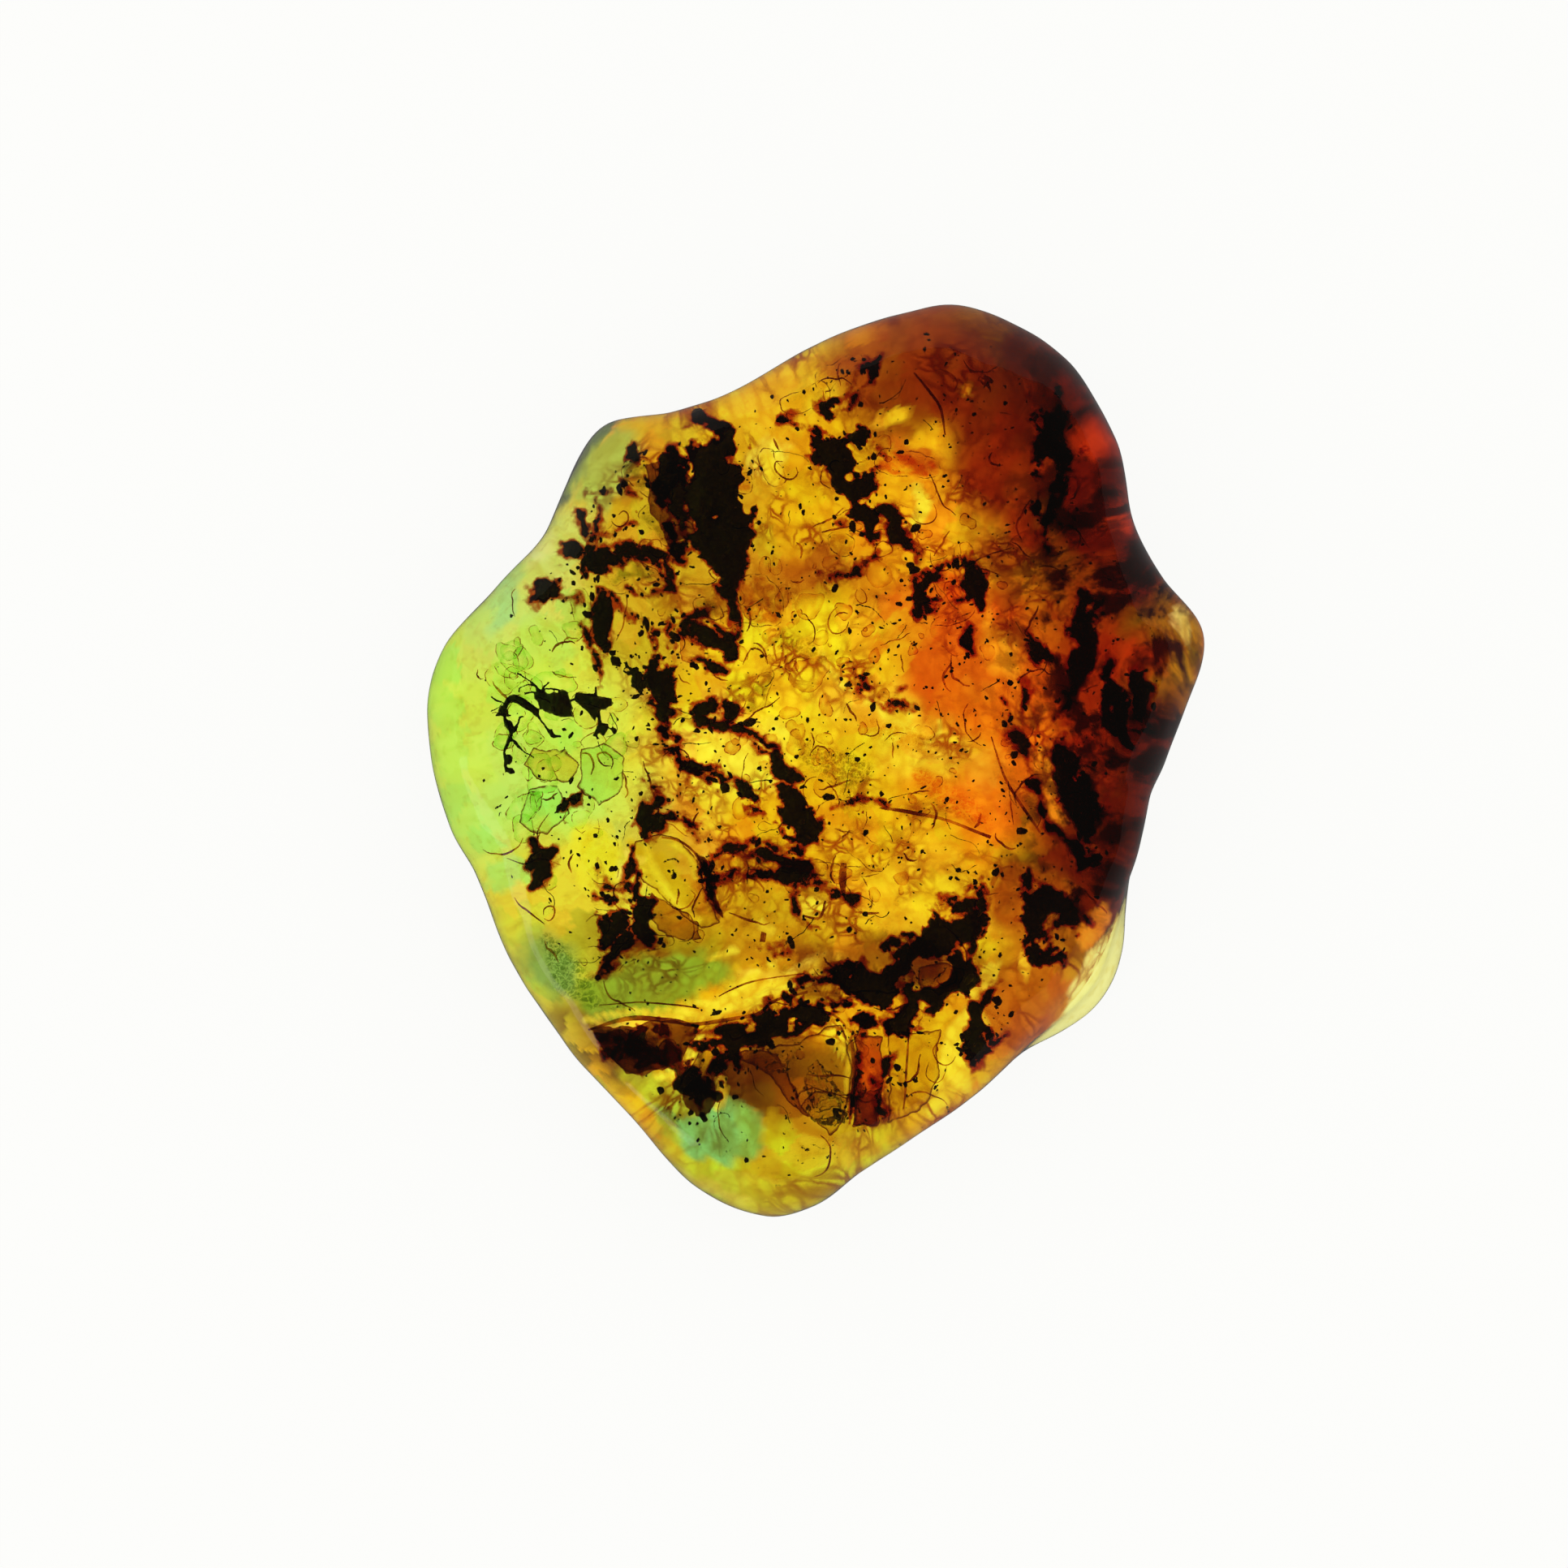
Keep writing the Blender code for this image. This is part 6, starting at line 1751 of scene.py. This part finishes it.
def film_finish(groups):
    """A flow film: rounded cells with stained seams in places, painted shade that darkens each small cell
    outward from its middle, and to the right mottled deep red.
    """
    finish = Finish("flow_film", groups)
    tree = finish.tree
    apart = add_node(tree, "ShaderNodeSeparateXYZ", {"Vector": finish.place})
    wandering = finish.effect("drift", {"Place": finish.place, "Size": 1.3, "Reach": 0.55})["Place"]
    patches = finish.noise(3.4, 3.0)
    in_gold = rise_between(tree, apart.outputs["X"], -13.5, -8.0)
    grime = maths(tree, "MULTIPLY", rise_between(tree, patches, 0.46, 0.66), in_gold)
    cells = finish.effect("flow cells", {"Place": wandering, "Size": 1.5, "Line": 0.10})
    pebbles = finish.effect("flow cells", {"Place": wandering, "Size": 0.8, "Line": 0.22})
    seams = maths(tree, "MULTIPLY", maths(tree, "MAXIMUM", cells["Border"], pebbles["Border"]), grime)
    colour = mix_colours(tree, seams, CLEAR, (0.45, 0.14, 0.02, 1.0))
    tinted = mix_colours(
        tree, maths(tree, "MULTIPLY", cells["Tint"], 0.28), colour, (0.85, 0.50, 0.15, 1.0), "MULTIPLY"
    )
    # painted shade: each small cell darker outward from its middle, as a rounded pebble is shaded
    outward = rise_between(tree, pebbles["Outward"], 0.25, 0.75)
    tinted = mix_colours(
        tree,
        maths(tree, "MULTIPLY", outward, rise_between(tree, apart.outputs["X"], -12.0, -7.0, 0.6)),
        tinted,
        (0.80, 0.55, 0.22, 1.0),
        "MULTIPLY",
    )
    mottle = finish.noise(1.9, 4.0, 0.6)
    to_the_right = maths(
        tree,
        "MULTIPLY",
        rise_between(tree, apart.outputs["X"], 8.0, 14.0),
        rise_between(tree, apart.outputs["Y"], -11.0, -7.5),
    )
    dark = maths(tree, "MULTIPLY", rise_between(tree, mottle, 0.56, 0.42), to_the_right)
    colour = mix_colours(tree, dark, tinted, (0.06, 0.004, 0.001, 1.0))
    return finish.tint_only(colour)


def dust_finish(groups):
    finish = Finish("sealed_dust", groups)
    tree = finish.tree
    grain = finish.noise(0.8, 3.0)
    colour = mix_colours(tree, grain, (0.05, 0.012, 0.003, 1.0), (0.010, 0.005, 0.003, 1.0))
    finish.set(Base_Color=colour, Roughness=0.6)
    return finish.material


def bark_finish(groups):
    finish = Finish("sealed_bark", groups)
    tree = finish.tree
    grain = finish.noise(0.35, 5.0)
    depth = finish.kept("edge_depth")["Fac"]
    uneven = maths(tree, "MULTIPLY", maths(tree, "SUBTRACT", grain, 0.5), 0.16)
    worn = maths(tree, "ADD", depth, uneven)
    core = rise_between(tree, worn, 0.02, 0.16)
    colour = mix_colours(tree, core, (0.30, 0.045, 0.004, 1.0), (0.012, 0.005, 0.003, 1.0))
    alpha = rise_between(tree, worn, -0.02, 0.12)
    finish.set(Base_Color=colour, Alpha=alpha, Roughness=0.7)
    finish.bump(grain, 0.08)
    return finish.material


def leaf_finish(groups):
    finish = Finish("sealed_leaf", groups)
    veins = finish.effect("flow cells", {"Place": finish.place, "Size": 0.4, "Line": 0.1})
    colour = mix_colours(finish.tree, veins["Border"], (0.10, 0.11, 0.02, 1.0), (0.02, 0.015, 0.004, 1.0))
    finish.set(Base_Color=colour, Roughness=0.6)
    return finish.material


def chip_finish(groups):
    finish = Finish("resin_chip", groups)
    tree = finish.tree
    haze = finish.noise(0.5, 5.0)
    colour = mix_colours(tree, haze, (0.95, 0.82, 0.40, 1.0), (0.78, 0.60, 0.18, 1.0))
    finish.set(Base_Color=colour, Roughness=0.06, IOR=1.57, Transmission_Weight=1.0)
    return finish.material


def smoke_finish(groups):
    finish = Finish("smoky_flake", groups)
    tree = finish.tree
    folds = finish.noise(1.1, 3.0)
    colour = mix_colours(tree, folds, (0.62, 0.24, 0.20, 1.0), (0.04, 0.012, 0.008, 1.0))
    finish.set(Base_Color=colour, Roughness=0.12, IOR=1.57, Transmission_Weight=1.0)
    finish.bump(folds, 0.05)
    return finish.material


def chitin_finish(groups):
    finish = Finish("insect_chitin", groups)
    tree = finish.tree
    plates = finish.noise(0.25, 4.0)
    colour = mix_colours(tree, plates, (0.035, 0.012, 0.004, 1.0), (0.006, 0.003, 0.002, 1.0))
    finish.set(Base_Color=colour, Roughness=0.35)
    finish.bump(plates, 0.03)
    return finish.material


def floor_finish():
    material = bpy.data.materials.new("pale_floor")
    material.use_nodes = True
    shader = material.node_tree.nodes["Principled BSDF"]
    shader.inputs["Base Color"].default_value = (0.80, 0.80, 0.79, 1.0)
    shader.inputs["Roughness"].default_value = 0.8
    shader.inputs["Specular IOR Level"].default_value = 0.1
    shader.inputs["Emission Color"].default_value = (1.0, 1.0, 0.98, 1.0)
    tree = material.node_tree
    ray = tree.nodes.new("ShaderNodeLightPath").outputs
    through = ray["Is Transmission Ray"]
    reflected = maths(tree, "MULTIPLY", ray["Is Glossy Ray"], maths(tree, "SUBTRACT", 1.0, through))
    direct = maths(tree, "MULTIPLY_ADD", through, FLOOR_THROUGH - FLOOR_GLOW, FLOOR_GLOW)
    glow = maths(tree, "MULTIPLY_ADD", reflected, FLOOR_REFLECTED - FLOOR_GLOW, direct)
    feed(tree, glow, shader.inputs["Emission Strength"])
    return material


# Floor, light and camera.

def build_floor():
    reach = 1.2
    level = -0.00005        # just clear of the nugget's underside
    mesh = bpy.data.meshes.new("floor")
    corners = [(-reach, -reach), (reach, -reach), (reach, reach), (-reach, reach)]
    mesh.from_pydata([(x, y, level) for x, y in corners], [], [(0, 1, 2, 3)])
    mesh.materials.append(floor_finish())
    floor = bpy.data.objects.new("floor", mesh)
    bpy.context.scene.collection.objects.link(floor)


def area_light(name, place, aim, size, watts, colour):
    data = bpy.data.lights.new(name, "AREA")
    data.shape = "RECTANGLE"
    data.size, data.size_y = size
    data.energy = watts
    data.color = colour
    lamp = bpy.data.objects.new(name, data)
    lamp.location = place
    lamp.rotation_euler = (Vector(aim) - Vector(place)).to_track_quat("-Z", "Y").to_euler()
    bpy.context.scene.collection.objects.link(lamp)


def build_lights():
    area_light("left_strip", (-0.46, -0.24, 0.035), (0, 0, 0.01), (0.36, 0.08), 0.10, (0.80, 0.72, 1.0))
    world = bpy.data.worlds.new("studio")
    world.use_nodes = True
    world.node_tree.nodes["Background"].inputs["Color"].default_value = (1.0, 1.0, 1.0, 1.0)
    tree = world.node_tree
    through = tree.nodes.new("ShaderNodeLightPath").outputs["Is Transmission Ray"]
    glow = maths(tree, "MULTIPLY_ADD", through, WORLD_THROUGH - WORLD_GLOW, WORLD_GLOW)
    feed(tree, glow, tree.nodes["Background"].inputs["Strength"])
    bpy.context.scene.world = world


def build_camera():
    data = bpy.data.cameras.new("camera")
    data.lens = CAMERA_LENS
    data.sensor_width = 36.0
    camera = bpy.data.objects.new("camera", data)
    camera.location = Vector(CAMERA_PLACE) * MM
    bpy.context.scene.collection.objects.link(camera)
    bpy.context.scene.camera = camera


def render_depth():
    scene = bpy.context.scene
    scene.view_settings.view_transform = "Standard"
    scene.cycles.max_bounces = 24
    scene.cycles.transmission_bounces = 24
    scene.cycles.transparent_max_bounces = 24
    scene.cycles.diffuse_bounces = 1
    scene.cycles.glossy_bounces = 4
    scene.cycles.caustics_reflective = False
    scene.cycles.caustics_refractive = False


def main():
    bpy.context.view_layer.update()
    noise.seed_set(NOISE_SEED)
    groups = {
        "place": millimetre_place_group(),
        "drift": drift_group(),
        "flow cells": flow_cells_group(),
    }
    build_nugget(amber_finish(groups))
    build_litter(bark_finish(groups), leaf_finish(groups), chip_finish(groups), smoke_finish(groups))
    build_stains(stain_finish(groups))
    build_insect(chitin_finish(groups))
    dust = dust_finish(groups)
    build_specks(dust)
    build_crumbs(dust)
    build_hairs(dust)
    film = film_finish(groups)
    build_flow_film("lower_flow_film", 3.6, 1.3, 0.8, film)
    build_lenses("resin_lenses", RESIN_LENSES, lens_finish(groups, "resin_lens", 0.40, 0.3, 0.09, 0.42))
    build_lenses("resin_plates", RESIN_PLATES, lens_finish(groups, "resin_plate", 0.60, 0.08, 0.16, 0.32))
    build_seams_and_fold_shade(seam_and_fold_shade_finish(groups))
    build_lenses("crinkled_films", CRINKLED_FILMS, crinkle_finish(groups))
    build_lenses("resin_cells", random_cells(), cell_finish(groups))
    build_floor()
    build_lights()
    build_camera()
    render_depth()


main()
